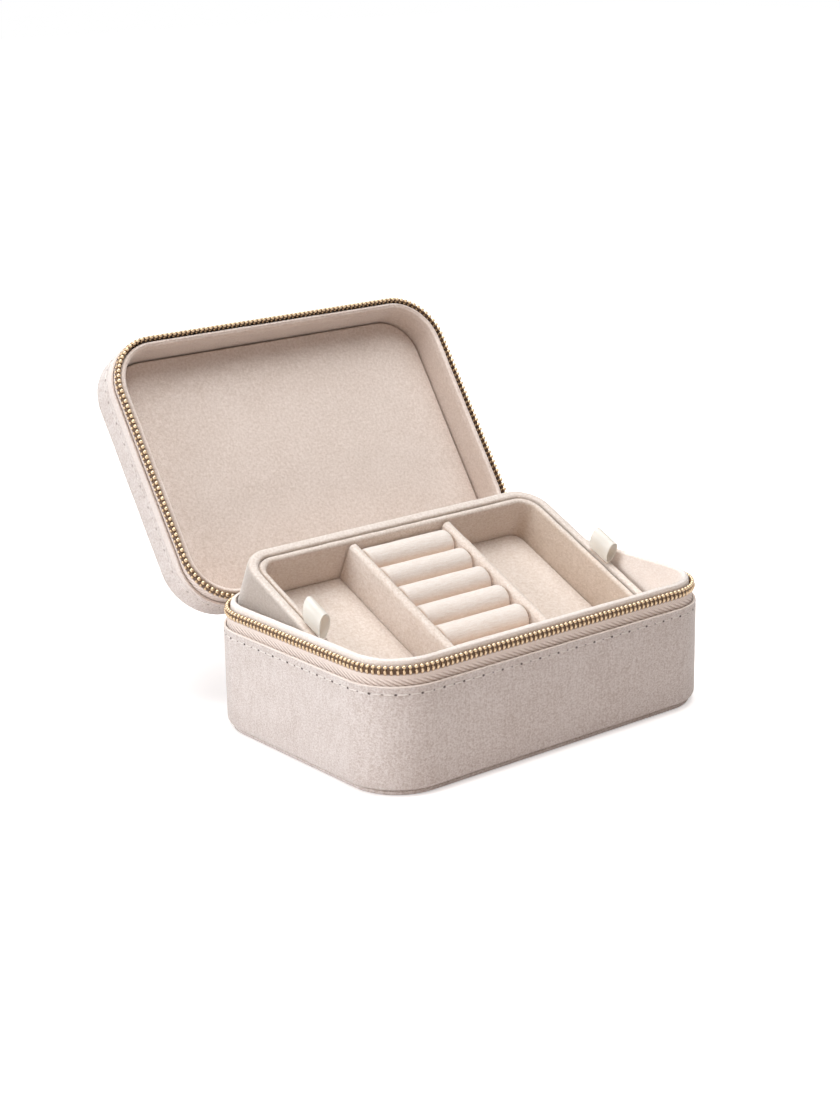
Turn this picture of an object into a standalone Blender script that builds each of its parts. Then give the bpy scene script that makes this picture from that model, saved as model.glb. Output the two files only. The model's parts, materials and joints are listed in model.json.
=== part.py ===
"""Travel jewelry case: zipped velvet box with a padded lid and a lift-out ring tray.

The case is modelled in the pose it is shown in: lid thrown back, tray propped up at the rear.
Lengths below are in millimetres. +Z is up, +Y is the hinge side, and the origin is the middle
of the underside. Lid pieces are drawn as if the lid were shut, and tray pieces as if the tray
lay flat in the base. An empty on each joint's axis then turns them to where they stand.
"""
import math

import bmesh
import bpy
from mathutils import Vector

MM = 0.001

# ---- case body ------------------------------------------------------------------------
CASE_LENGTH = 160.0
CASE_DEPTH = 110.5
CORNER_RADIUS = 21.3
CORNER_STEPS = 6

COVER_THICKNESS = 1.0          # velvet and its backing
GAP = 0.3                      # clearance between neighbouring pieces
BOARD_INSET = 1.3
BOARD_THICKNESS = 1.2
RIM_INSET = 2.8
RIM_THICKNESS = 2.5
REAR_RIM_THICKNESS = 1.6
WALL_INSET = RIM_INSET + RIM_THICKNESS

BOTTOM_PANEL_INSET = 1.9
BOTTOM_PANEL_TOP = 1.6
BASE_COVER_BOTTOM = 1.9
BASE_COVER_TOP = 40.0
BASE_FLOOR_BOTTOM = 3.2
BASE_FLOOR_TOP = 5.0
BASE_BOARD_TOP = 33.3
FLOOR_PAD_TOP = 8.1
BASE_RIM_TOP = 49.0

# ---- zipper ---------------------------------------------------------------------------
ZIP_INSET = 1.5                # middle of the tape, in from the velvet
TAPE_THICKNESS = 0.45
TOOTH_PITCH = 2.117            # twelve teeth to the inch
TOOTH_LENGTH = 1.1             # along the chain
TOOTH_SECTION = (0.0, 3.4, 1.0, 0.6)       # bottom, top, half depth at each
CORD_SECTION = (0.2, 1.25, 0.55, 0.45)     # the corded edge between two teeth
BASE_TOOTH_ROOT = 43.9
LID_TOOTH_ROOT = 51.65
BASE_TAPE_BOTTOM = 33.8
LID_TAPE_TOP = 61.9
CHAIN_END_X = 52.0             # the chain turns both rear corners and stops here
BASE_TAPE_END_X = 43.0

# ---- hinge and lid --------------------------------------------------------------------
HINGE_Y = 53.67
HINGE_Z = 46.38
LID_OPEN_ANGLE = math.radians(123.6)
HINGE_STRIP_HALF = 42.0
HINGE_STRIP_THICKNESS = 0.76
HINGE_STRIP_Y = 53.58
HINGE_STRIP_CLEAR = 1.45       # each half stops this far from the fold

LID_COVER_BOTTOM = 55.85
LID_COVER_TOP = 68.3
LID_PANEL_INSET = 3.4
LID_PANEL_TOP = 69.9
LID_PANEL_CROWN = 0.7
LID_BOARD_BOTTOM = 62.2
LID_BOARD_TOP = 67.0
LID_PLATE_BOTTOM = 65.2
LID_RIM_BOTTOM = 49.35
LID_PAD_FACE = 62.2
LID_PAD_CROWN = 0.9

# ---- tray -----------------------------------------------------------------------------
TRAY_HALF_LENGTH = 72.5
TRAY_REAR_Y = 47.6
TRAY_DEPTH = 97.2
TRAY_RADIUS = 13.0
TRAY_HEIGHT = 20.0
TRAY_TOP = 40.0
TRAY_BASE = TRAY_TOP - TRAY_HEIGHT
TRAY_TILT = math.radians(24.5)
PROPPED_REAR_Y = 42.5          # rear top edge of the tray where it stands propped up
PROPPED_REAR_Z = 66.3
SHELL_WALL = 3.0
SHELL_FLOOR_TOP = TRAY_BASE + 2.0
LINER_INSET = 3.4
LINER_TOP = TRAY_TOP - 0.5
LINER_INNER = 7.0
LINER_DRAFT = 0.8
LINER_FRONT_THINNER = 1.1
TRAY_PAD_TOP = TRAY_TOP - 16.5
DIVIDER_X = 22.9
DIVIDER_THICKNESS = 4.4
DIVIDER_TOP = TRAY_TOP - 1.2
ROLL_COUNT = 7
ROLL_RADIUS = 5.78
ROLL_PITCH = 11.86
ROLL_Z = TRAY_TOP - 7.5
ROLL_FIRST_Y = TRAY_REAR_Y - 13.43
ROLL_HALF_LENGTH = 20.3
ROLL_SIDES = 16
ROLL_BED_TOP = ROLL_Z - ROLL_RADIUS - GAP

# ---- ribbon tabs on the tray ----------------------------------------------------------
TAB_Y = TRAY_REAR_Y - 47.5
TAB_WIDTH = 10.5
TAB_HEIGHT = 8.4
TAB_SPREAD = 6.2
TAB_THICKNESS = 0.5
TAB_STEPS = 16
TAB_ROOT_NARROWING = 0.45
TAB_ROOT_INSET = 3.2
TAB_ROOT_Z = TRAY_TOP + 0.35
TAB_LEAN = math.radians(20.0)    # the left one inward, the right one outward
LEFT_TAB_SLANT = 4.5             # how far the fold lies behind the root
RIGHT_TAB_SLANT = 1.8

# ---- lower dividers -------------------------------------------------------------------
LOWER_DIVIDER_TOP = TRAY_BASE - GAP
LOWER_DIVIDER_THICKNESS = 2.6
CROSS_DIVIDER_Y = -9.0
SHORT_DIVIDER_X = 24.0

# ---- slider ---------------------------------------------------------------------------
SLIDER_X = 47.0
SLIDER_LENGTH = 7.0
SLIDER_INNER_PLATE = 0.5
SLIDER_OUTER_PLATE = 0.9
LUG_X = 2.2
LUG_HALF = 0.45
LUG_RADIUS = 1.0
SLIDER_BOTTOM = 41.6
SLIDER_TOP = 46.9
PIN_RADIUS = 0.5
PIN_Y = 56.95
PIN_Z = 43.9
PULL_EYE_RADIUS = 1.4
PULL_EYE_BORE = 0.85
PULL_EYE_HALF = 1.4
EYE_SIDES = 16
PULL_NECK = 1.2
PULL_TOP_Z = -1.1              # the blade starts inside the eye's ring
PULL_NECK_Z = -4.0
PULL_SHOULDER_Z = -7.0
PULL_LENGTH = 21.0
PULL_WIDTH = 5.2
PULL_THICKNESS = 1.1

COLOURS = {
    "outer_velvet": ((0.70, 0.62, 0.56), 0.95, 0.0),
    "lining_velvet": ((0.74, 0.62, 0.53), 0.95, 0.0),
    "roll_velvet": ((0.80, 0.68, 0.58), 0.9, 0.0),
    "zipper_tape": ((0.62, 0.52, 0.46), 0.85, 0.0),
    "zipper_brass": ((0.60, 0.42, 0.18), 0.28, 1.0),
    "ribbon_satin": ((0.86, 0.80, 0.66), 0.35, 0.0),
    "grey_board": ((0.42, 0.40, 0.37), 0.9, 0.0),
}


# ---- plans and profiles ---------------------------------------------------------------
def make_plan(x_min, x_max, y_min, y_max, radii):
    """A rounded rectangle; radii run rear right, rear left, front left, front right."""
    if not isinstance(radii, tuple):
        radii = (radii,) * 4
    return x_min, x_max, y_min, y_max, radii


CASE_PLAN = make_plan(-CASE_LENGTH / 2, CASE_LENGTH / 2, -CASE_DEPTH / 2, CASE_DEPTH / 2,
                      CORNER_RADIUS)
TRAY_PLAN = make_plan(-TRAY_HALF_LENGTH, TRAY_HALF_LENGTH, TRAY_REAR_Y - TRAY_DEPTH,
                      TRAY_REAR_Y, TRAY_RADIUS)


def plan_ring(plan, inset, z, front=0.0, rear=0.0):
    """Points round a plan shrunk by inset; front and rear push those two sides out again."""
    x_min, x_max, y_min, y_max, radii = plan
    corners = ((x_max, y_max, 1, 1), (x_min, y_max, -1, 1), (x_min, y_min, -1, -1),
               (x_max, y_min, 1, -1))
    points = []
    for quarter, (x, y, sign_x, sign_y) in enumerate(corners):
        radius = max(radii[quarter] - inset, 0.2)
        push = rear if sign_y > 0 else -front
        centre_x = x - sign_x * (inset + radius)
        centre_y = y - sign_y * (inset + radius) + push
        for step in range(CORNER_STEPS + 1):
            angle = math.radians(90.0 * (quarter + step / CORNER_STEPS))
            points.append((centre_x + radius * math.cos(angle),
                           centre_y + radius * math.sin(angle), z))
    return points


def round_corners(corners, closed):
    """Replace each (across, up, radius) corner of a profile by an arc of that radius."""
    count = len(corners)
    points = []
    for index, (across, up, radius) in enumerate(corners):
        here = Vector((across, up))
        at_end = not closed and index in (0, count - 1)
        if radius == 0 or at_end:
            points.append((here.x, here.y))
            continue
        before = Vector(corners[index - 1][:2]) - here
        after = Vector(corners[(index + 1) % count][:2]) - here
        before.normalize()
        after.normalize()
        half_angle = before.angle(after) / 2
        steps = 3 if radius > 1.0 else 2
        reach = radius / math.tan(half_angle)
        centre = here + (before + after).normalized() * (radius / math.sin(half_angle))
        start = (here + before * reach - centre).normalized()
        end = (here + after * reach - centre).normalized()
        for step in range(steps + 1):
            spoke = centre + start.slerp(end, step / steps) * radius
            points.append((spoke.x, spoke.y))
    return points


# ---- mesh building --------------------------------------------------------------------
def material(name):
    """The named material, made on first use."""
    if name in bpy.data.materials:
        return bpy.data.materials[name]
    colour, roughness, metallic = COLOURS[name]
    made = bpy.data.materials.new(name)
    made.use_nodes = True
    shader = made.node_tree.nodes["Principled BSDF"]
    shader.inputs["Base Color"].default_value = (*colour, 1.0)
    shader.inputs["Roughness"].default_value = roughness
    shader.inputs["Metallic"].default_value = metallic
    return made


def add_loft(mesh, rings, closed):
    """Skin the rings one to the next, and either join the last to the first or cap both."""
    made = [[mesh.verts.new(Vector(point) * MM) for point in ring] for ring in rings]
    count = len(made[0])
    pairs = list(zip(made, made[1:]))
    if closed:
        pairs.append((made[-1], made[0]))
    else:
        mesh.faces.new(list(reversed(made[0])))
        mesh.faces.new(made[-1])
    for low, high in pairs:
        for index in range(count):
            after = (index + 1) % count
            mesh.faces.new((low[index], low[after], high[after], high[index]))


def add_object(name, mesh, material_name, parent=None, smooth_angle=50.0):
    """Finish a mesh, put it in the scene and hang it on its joint's empty."""
    bmesh.ops.recalc_face_normals(mesh, faces=mesh.faces)
    data = bpy.data.meshes.new(name)
    mesh.to_mesh(data)
    mesh.free()
    data.materials.append(material(material_name))
    data.shade_smooth()
    data.set_sharp_from_angle(angle=math.radians(smooth_angle))
    made = bpy.data.objects.new(name, data)
    bpy.context.scene.collection.objects.link(made)
    if parent is not None:
        made.parent = parent
        made.matrix_parent_inverse.identity()
    return made


def move_to_joint(mesh, origin):
    """Shift a mesh drawn in case coordinates so that its joint's axis is at its origin."""
    for vertex in mesh.verts:
        vertex.co -= Vector(origin) * MM


def joint_empty(name, location, rotation, parent=None):
    """An empty on a joint's axis; location is relative to its parent."""
    made = bpy.data.objects.new(name, None)
    made.location = Vector(location) * MM
    made.rotation_euler = rotation
    bpy.context.scene.collection.objects.link(made)
    made.parent = parent
    return made


def wall(name, plan, corners, material_name, place, thinner_front=0.0, thinner_rear=0.0,
         inner_from=None):
    """A closed band that runs round a plan with the given profile."""
    rings = []
    for inset, z in round_corners(corners, closed=True):
        inner = inner_from is not None and inset >= inner_from
        front = thinner_front if inner else 0.0
        rear = thinner_rear if inner else 0.0
        rings.append(plan_ring(plan, inset, z, front, rear))
    mesh = bmesh.new()
    add_loft(mesh, rings, closed=True)
    return finish(name, mesh, material_name, place)


def solid(name, plan, corners, material_name, place):
    """A body whose profile runs from one capped ring to another, such as a pad or a tub."""
    rings = [plan_ring(plan, inset, z) for inset, z in round_corners(corners, closed=False)]
    mesh = bmesh.new()
    add_loft(mesh, rings, closed=False)
    return finish(name, mesh, material_name, place)


def bar(name, section, axis, start, end, material_name, place):
    """Extrude a closed section of (across, z) points along X or Y."""
    rings = []
    for along in (start, end):
        if axis == "X":
            rings.append([(along, across, z) for across, z in section])
        else:
            rings.append([(across, along, z) for across, z in section])
    mesh = bmesh.new()
    add_loft(mesh, rings, closed=False)
    return finish(name, mesh, material_name, place)


def finish(name, mesh, material_name, place):
    """Add a mesh at its place: None is the case itself, otherwise (empty, joint origin)."""
    if place is None:
        return add_object(name, mesh, material_name)
    parent, origin = place
    move_to_joint(mesh, origin)
    return add_object(name, mesh, material_name, parent)


# ---- zipper chain ---------------------------------------------------------------------
def chain_run(end_x):
    """The pieces of the chain's line, from the rear right end round the front to the left."""
    radius = CORNER_RADIUS - ZIP_INSET
    straight_x = CASE_LENGTH / 2 - CORNER_RADIUS
    straight_y = CASE_DEPTH / 2 - CORNER_RADIUS
    half = [("line", (end_x, straight_y + radius), (straight_x, straight_y + radius), (0, 1)),
            ("arc", (straight_x, straight_y), 90.0, 0.0, radius),
            ("line", (straight_x + radius, straight_y), (straight_x + radius, -straight_y), (1, 0)),
            ("arc", (straight_x, -straight_y), 0.0, -90.0, radius),
            ("line", (straight_x, -straight_y - radius), (0, -straight_y - radius), (0, -1))]
    mirrored = []
    for piece in reversed(half):
        if piece[0] == "line":
            _, start, end, normal = piece
            mirrored.append(("line", (-end[0], end[1]), (-start[0], start[1]),
                             (-normal[0], normal[1])))
        else:
            _, centre, first, last, size = piece
            mirrored.append(("arc", (-centre[0], centre[1]), 180.0 - last, 180.0 - first, size))
    return half + mirrored


def piece_length(piece):
    if piece[0] == "line":
        return (Vector(piece[2]) - Vector(piece[1])).length
    return abs(math.radians(piece[3] - piece[2])) * piece[4]


def piece_point(piece, share):
    """Point and outward direction at a share of the way along one piece of the line."""
    if piece[0] == "line":
        return Vector(piece[1]).lerp(Vector(piece[2]), share), Vector(piece[3])
    angle = math.radians(piece[2] + (piece[3] - piece[2]) * share)
    outward = Vector((math.cos(angle), math.sin(angle)))
    return Vector(piece[1]) + outward * piece[4], outward


def chain_point(run, distance):
    """Point and outward direction at a distance from the start of the chain's line."""
    for piece in run:
        length = piece_length(piece)
        if distance <= length:
            return piece_point(piece, distance / length)
        distance -= length
    return piece_point(run[-1], 1.0)


def row_section(point, outward, root, direction, section):
    """A four-sided section across the tape: bottom, top, and half depths at each."""
    bottom, top, bottom_depth, top_depth = section
    corners = ((bottom_depth, bottom), (top_depth, top), (-top_depth, top),
               (-bottom_depth, bottom))
    ring = []
    for depth, height in corners:
        place = point + outward * depth
        ring.append((place.x, place.y, root + direction * height))
    return ring


def tooth_row(name, root, direction, lag, place):
    """A row of teeth on the corded edge that holds them; direction +1 points the heads up."""
    run = chain_run(CHAIN_END_X)
    total = sum(piece_length(piece) for piece in run)
    count = int(total / TOOTH_PITCH) - 1
    first = (total - (count - 1) * TOOTH_PITCH) / 2 + lag
    stations = [(first - TOOTH_PITCH / 2, CORD_SECTION)]
    for index in range(count):
        middle = first + index * TOOTH_PITCH
        stations += [(middle - TOOTH_LENGTH / 2, TOOTH_SECTION),
                     (middle + TOOTH_LENGTH / 2, TOOTH_SECTION),
                     (middle + TOOTH_PITCH / 2, CORD_SECTION)]
    mesh = bmesh.new()
    add_loft(mesh, [row_section(*chain_point(run, distance), root, direction, section)
                    for distance, section in stations], closed=False)
    return finish(name, mesh, "zipper_brass", place)


def tape(name, end_x, low, high, place):
    """The tape that carries a row, a thin band along the chain's line."""
    rings = []
    for piece in chain_run(end_x):
        steps = CORNER_STEPS if piece[0] == "arc" else 1
        for step in range(steps):
            rings.append(tape_ring(*piece_point(piece, step / steps), low, high))
    rings.append(tape_ring(*piece_point(chain_run(end_x)[-1], 1.0), low, high))
    mesh = bmesh.new()
    add_loft(mesh, rings, closed=False)
    return finish(name, mesh, "zipper_tape", place)


def tape_ring(point, outward, low, high):
    half = TAPE_THICKNESS / 2
    outer = point + outward * half
    inner = point - outward * half
    return [(outer.x, outer.y, low), (outer.x, outer.y, high), (inner.x, inner.y, high),
            (inner.x, inner.y, low)]


# ---- base -----------------------------------------------------------------------------
def build_base():
    solid("base_bottom_panel", CASE_PLAN,
          [(9.0, 0.0, 0), (BOTTOM_PANEL_INSET, 0.0, 0.7),
           (BOTTOM_PANEL_INSET, BOTTOM_PANEL_TOP, 0.6), (9.0, BOTTOM_PANEL_TOP, 0)],
          "outer_velvet", None)
    wall("base_outer_cover", CASE_PLAN,
         [(5.0, BASE_COVER_BOTTOM, 0), (0.0, BASE_COVER_BOTTOM, 2.2),
          (0.0, BASE_COVER_TOP, 0.45), (COVER_THICKNESS, BASE_COVER_TOP, 0.45),
          (COVER_THICKNESS, BASE_COVER_BOTTOM + COVER_THICKNESS, 1.2),
          (5.0, BASE_COVER_BOTTOM + COVER_THICKNESS, 0)],
         "outer_velvet", None)
    board_inner = BOARD_INSET + BOARD_THICKNESS
    solid("base_board_shell", CASE_PLAN,
          [(8.0, BASE_FLOOR_BOTTOM, 0), (BOARD_INSET, BASE_FLOOR_BOTTOM, 1.4),
           (BOARD_INSET, BASE_BOARD_TOP, 0), (board_inner, BASE_BOARD_TOP, 0),
           (board_inner, BASE_FLOOR_TOP, 0)],
          "grey_board", None)
    rear_push = RIM_THICKNESS - REAR_RIM_THICKNESS
    low = BASE_FLOOR_TOP + GAP
    middle = RIM_INSET + RIM_THICKNESS / 2
    wall("base_rim_wall", CASE_PLAN,
         [(RIM_INSET, low, 0), (RIM_INSET, BASE_RIM_TOP - 0.9, 0),
          (RIM_INSET + 0.35, BASE_RIM_TOP - 0.25, 0), (middle, BASE_RIM_TOP, 0),
          (WALL_INSET - 0.35, BASE_RIM_TOP - 0.25, 0), (WALL_INSET, BASE_RIM_TOP - 0.9, 0),
          (WALL_INSET, low, 0)],
         "lining_velvet", None, thinner_rear=rear_push, inner_from=WALL_INSET - 0.5)
    pad_inset = WALL_INSET + GAP
    solid("base_floor_pad", CASE_PLAN,
          [(pad_inset + 1.2, low, 0), (pad_inset, low + 0.9, 0.8),
           (pad_inset + 1.0, FLOOR_PAD_TOP - 0.4, 1.0), (pad_inset + 6.0, FLOOR_PAD_TOP, 0)],
          "lining_velvet", None)
    tape("base_zipper_tape", BASE_TAPE_END_X, BASE_TAPE_BOTTOM, BASE_TOOTH_ROOT - GAP, None)
    tooth_row("base_zipper_teeth", BASE_TOOTH_ROOT, 1, -TOOTH_PITCH / 4, None)
    build_hinge_strip("base_hinge_strip", BASE_TAPE_BOTTOM, HINGE_Z - HINGE_STRIP_CLEAR, None)
    build_lower_dividers()


def build_hinge_strip(name, low, high, place):
    """Half of the fabric strip that joins lid and base between the chain's two ends."""
    near = HINGE_STRIP_Y - HINGE_STRIP_THICKNESS / 2
    far = HINGE_STRIP_Y + HINGE_STRIP_THICKNESS / 2
    section = round_corners([(near, low, 0.3), (far, low, 0.3), (far, high, 0.3),
                             (near, high, 0.3)], closed=True)
    bar(name, section, "X", -HINGE_STRIP_HALF, HINGE_STRIP_HALF, "outer_velvet", place)


def board_section(middle, low):
    """Upright board with a padded, rounded top edge."""
    half = LOWER_DIVIDER_THICKNESS / 2
    return round_corners([(middle - half, low, 0), (middle + half, low, 0),
                          (middle + half, LOWER_DIVIDER_TOP, half * 0.9),
                          (middle - half, LOWER_DIVIDER_TOP, half * 0.9)], closed=True)


def build_lower_dividers():
    """Boards under the tray: they part the bottom of the case and carry the flat tray."""
    low = FLOOR_PAD_TOP + GAP
    half_length = CASE_LENGTH / 2 - WALL_INSET - 2 * GAP
    half = LOWER_DIVIDER_THICKNESS / 2
    bar("lower_cross_divider", board_section(CROSS_DIVIDER_Y, low), "X", -half_length,
        half_length, "lining_velvet", None)
    rear = CASE_DEPTH / 2 - WALL_INSET - GAP
    for name, side in (("lower_left_divider", -1), ("lower_right_divider", 1)):
        bar(name, board_section(side * SHORT_DIVIDER_X, low), "Y",
            CROSS_DIVIDER_Y + half + GAP, rear, "lining_velvet", None)


# ---- lid ------------------------------------------------------------------------------
def build_lid(place):
    wall("lid_outer_cover", CASE_PLAN,
         [(8.0, LID_COVER_TOP, 0), (0.0, LID_COVER_TOP, 3.0), (0.0, LID_COVER_BOTTOM, 0.45),
          (COVER_THICKNESS, LID_COVER_BOTTOM, 0.45),
          (COVER_THICKNESS, LID_COVER_TOP - COVER_THICKNESS, 2.0),
          (8.0, LID_COVER_TOP - COVER_THICKNESS, 0)],
         "outer_velvet", place)
    low = LID_COVER_TOP + GAP
    solid("lid_top_panel", CASE_PLAN,
          [(10.0, low, 0), (LID_PANEL_INSET, low, 0.4),
           (LID_PANEL_INSET + 0.5, LID_PANEL_TOP, 0.8),
           (14.0, LID_PANEL_TOP + 0.6 * LID_PANEL_CROWN, 0),
           (32.0, LID_PANEL_TOP + LID_PANEL_CROWN, 0)],
          "outer_velvet", place)
    board_inner = BOARD_INSET + BOARD_THICKNESS
    solid("lid_board_shell", CASE_PLAN,
          [(10.0, LID_BOARD_TOP, 0), (BOARD_INSET, LID_BOARD_TOP, 2.2),
           (BOARD_INSET, LID_BOARD_BOTTOM, 0), (board_inner, LID_BOARD_BOTTOM, 0),
           (board_inner, LID_PLATE_BOTTOM, 0)],
          "grey_board", place)
    high = LID_PLATE_BOTTOM - GAP
    middle = RIM_INSET + RIM_THICKNESS / 2
    wall("lid_rim_wall", CASE_PLAN,
         [(RIM_INSET, high, 0), (WALL_INSET, high, 0), (WALL_INSET, LID_RIM_BOTTOM + 0.9, 0),
          (WALL_INSET - 0.35, LID_RIM_BOTTOM + 0.25, 0), (middle, LID_RIM_BOTTOM, 0),
          (RIM_INSET + 0.35, LID_RIM_BOTTOM + 0.25, 0), (RIM_INSET, LID_RIM_BOTTOM + 0.9, 0)],
         "lining_velvet", place)
    edge = WALL_INSET + GAP + 0.1
    solid("lid_ceiling_panel", CASE_PLAN,
          [(edge + 1.0, high, 0), (edge, high - 0.9, 0.7), (edge + 0.6, LID_PAD_FACE, 1.0),
           (edge + 9.0, LID_PAD_FACE - 0.6 * LID_PAD_CROWN, 0),
           (edge + 26.0, LID_PAD_FACE - LID_PAD_CROWN, 0)],
          "lining_velvet", place)
    tape("lid_zipper_tape", CHAIN_END_X, LID_TOOTH_ROOT + GAP, LID_TAPE_TOP, place)
    tooth_row("lid_zipper_teeth", LID_TOOTH_ROOT, -1, TOOTH_PITCH / 4, place)
    build_hinge_strip("lid_hinge_strip", HINGE_Z + HINGE_STRIP_CLEAR, LID_TAPE_TOP, place)


# ---- tray -----------------------------------------------------------------------------
def propped_pivot():
    """The point (y, z) about which one turn carries the tray from flat to propped up."""
    flat = Vector((TRAY_REAR_Y, TRAY_TOP))
    propped = Vector((PROPPED_REAR_Y, PROPPED_REAR_Z))
    step = flat - propped
    sideways = Vector((step.y, -step.x)).normalized()
    return (flat + propped) / 2 + sideways * (step.length / 2 / math.tan(TRAY_TILT / 2))


def build_tray(place):
    solid("tray_shell", TRAY_PLAN,
          [(8.0, TRAY_BASE, 0), (0.0, TRAY_BASE, 2.0), (0.0, TRAY_TOP, 1.4),
           (SHELL_WALL, TRAY_TOP, 1.4), (SHELL_WALL, SHELL_FLOOR_TOP, 0)],
          "lining_velvet", place)
    low = SHELL_FLOOR_TOP + GAP
    wall("tray_liner", TRAY_PLAN,
         [(LINER_INSET, low, 0), (LINER_INSET, LINER_TOP, 1.4), (LINER_INNER, LINER_TOP, 1.6),
          (LINER_INNER + LINER_DRAFT, low, 0)],
         "lining_velvet", place, thinner_front=LINER_FRONT_THINNER,
         inner_from=(LINER_INSET + LINER_INNER) / 2)
    inner = LINER_INNER + LINER_DRAFT + GAP
    front = TRAY_REAR_Y - TRAY_DEPTH + inner - LINER_FRONT_THINNER
    rear = TRAY_REAR_Y - inner
    corner = TRAY_RADIUS - inner
    outer_x = TRAY_HALF_LENGTH - inner
    inner_x = DIVIDER_X + DIVIDER_THICKNESS / 2 + GAP
    plans = {
        "tray_left_floor": make_plan(-outer_x, -inner_x, front, rear, (0.5, corner, corner, 0.5)),
        "tray_right_floor": make_plan(inner_x, outer_x, front, rear, (corner, 0.5, 0.5, corner)),
    }
    for name, plan in plans.items():
        solid(name, plan, [(1.0, low, 0), (0.0, low, 0), (0.0, TRAY_PAD_TOP - 0.1, 0.3),
                           (4.0, TRAY_PAD_TOP, 0)],
              "lining_velvet", place)
    bed_x = DIVIDER_X - DIVIDER_THICKNESS / 2 - GAP
    bed = make_plan(-bed_x, bed_x, front, rear, 0.5)
    solid("tray_roll_bed", bed, [(1.0, low, 0), (0.0, low, 0), (0.0, ROLL_BED_TOP, 0),
                                 (1.0, ROLL_BED_TOP, 0)], "lining_velvet", place)
    half = DIVIDER_THICKNESS / 2
    for name, side in (("left_divider", -1), ("right_divider", 1)):
        section = round_corners([(side * DIVIDER_X - half - 0.1, low, 0),
                                 (side * DIVIDER_X + half + 0.1, low, 0),
                                 (side * DIVIDER_X + half - 0.2, DIVIDER_TOP, 1.8),
                                 (side * DIVIDER_X - half + 0.2, DIVIDER_TOP, 1.8)],
                                closed=True)
        bar(name, section, "Y", front, rear, "lining_velvet", place)
    for index in range(ROLL_COUNT):
        ring_roll(f"ring_roll_{index + 1}", ROLL_FIRST_Y - index * ROLL_PITCH, place)


def ring_roll(name, y, place):
    """One padded roll; rings are held in the pinch between it and the next."""
    stations = ((-1.0, 0.84), (-0.96, 1.0), (0.96, 1.0), (1.0, 0.84))
    rings = []
    for share, size in stations:
        ring = []
        for side in range(ROLL_SIDES):
            angle = 2 * math.pi * side / ROLL_SIDES
            radius = ROLL_RADIUS * size
            ring.append((ROLL_HALF_LENGTH * share, y + radius * math.cos(angle),
                         ROLL_Z + radius * math.sin(angle)))
        rings.append(ring)
    mesh = bmesh.new()
    add_loft(mesh, rings, closed=False)
    return finish(name, mesh, "roll_velvet", place)


def ribbon_oval(y, inward, slant):
    """One edge of the ribbon: an oval narrowed towards its root, which is at the origin."""
    ring = []
    for step in range(TAB_STEPS):
        angle = 2 * math.pi * step / TAB_STEPS
        rise = (1 - math.cos(angle)) / 2
        width = (TAB_SPREAD / 2) * (1 - TAB_ROOT_NARROWING * (1 - rise)) - inward
        ring.append((width * math.sin(angle), y + slant * rise,
                     inward + (TAB_HEIGHT - 2 * inward) * rise))
    return ring


def ribbon_tab(name, slant, parent):
    """A loop of ribbon that stands on its root line; drawn with that line at the origin."""
    half = TAB_WIDTH / 2
    corners = ((-half, 0.0), (half, 0.0), (half, TAB_THICKNESS), (-half, TAB_THICKNESS))
    rings = [ribbon_oval(y, inward, slant) for y, inward in corners]
    mesh = bmesh.new()
    add_loft(mesh, rings, closed=True)
    return add_object(name, mesh, "ribbon_satin", parent)


def build_tabs(tray_empty, tray_origin):
    root_x = TRAY_HALF_LENGTH - TAB_ROOT_INSET
    for name, side, slant in (("left_pull_tab", -1, LEFT_TAB_SLANT),
                              ("right_pull_tab", 1, RIGHT_TAB_SLANT)):
        offset = Vector((side * root_x, TAB_Y, TAB_ROOT_Z)) - Vector(tray_origin)
        axis = joint_empty(name + "_root", offset, (0, TAB_LEAN, 0), tray_empty)
        ribbon_tab(name, slant, axis)


# ---- slider and pull ------------------------------------------------------------------
def build_slider():
    """A clip over the tape's edge, with two lugs and a pin that carry the pull."""
    tape_y = CASE_DEPTH / 2 - ZIP_INSET
    slot = TAPE_THICKNESS / 2 + GAP
    inner = tape_y - slot - SLIDER_INNER_PLATE
    outer = tape_y + slot + SLIDER_OUTER_PLATE
    section = [(inner, SLIDER_BOTTOM), (tape_y - slot, SLIDER_BOTTOM),
               (tape_y - slot, BASE_TOOTH_ROOT + 0.1), (tape_y + slot, BASE_TOOTH_ROOT + 0.1),
               (tape_y + slot, SLIDER_BOTTOM), (outer, SLIDER_BOTTOM),
               (outer, SLIDER_TOP - 0.8), (outer - 0.7, SLIDER_TOP), (inner + 0.4, SLIDER_TOP),
               (inner, SLIDER_TOP - 0.5)]
    half = SLIDER_LENGTH / 2
    body = bar("zipper_slider", section, "X", SLIDER_X - half, SLIDER_X + half,
               "zipper_brass", None)
    for side in (-1, 1):
        add_boolean(body, slider_lug(SLIDER_X + side * LUG_X, outer), "UNION")
    add_boolean(body, slider_pin(), "UNION")


def slider_lug(x, face):
    """An ear on the slider's outer plate, rounded about the pin."""
    buried = face - SLIDER_OUTER_PLATE / 2
    section = [(buried, PIN_Z + LUG_RADIUS), (buried, PIN_Z - LUG_RADIUS)]
    for step in range(5):
        angle = math.radians(-90 + 45 * step)
        section.append((PIN_Y + LUG_RADIUS * math.cos(angle),
                        PIN_Z + LUG_RADIUS * math.sin(angle)))
    mesh = bmesh.new()
    rings = [[(along, y, z) for y, z in section] for along in (x - LUG_HALF, x + LUG_HALF)]
    add_loft(mesh, rings, closed=False)
    return guide_object("lug", mesh)


def slider_pin():
    mesh = bmesh.new()
    rings = []
    for x in (SLIDER_X - LUG_X, SLIDER_X + LUG_X):
        rings.append([(x, PIN_Y + PIN_RADIUS * math.cos(math.pi * step / 5),
                       PIN_Z + PIN_RADIUS * math.sin(math.pi * step / 5))
                      for step in range(10)])
    add_loft(mesh, rings, closed=False)
    return guide_object("pin", mesh)


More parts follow.
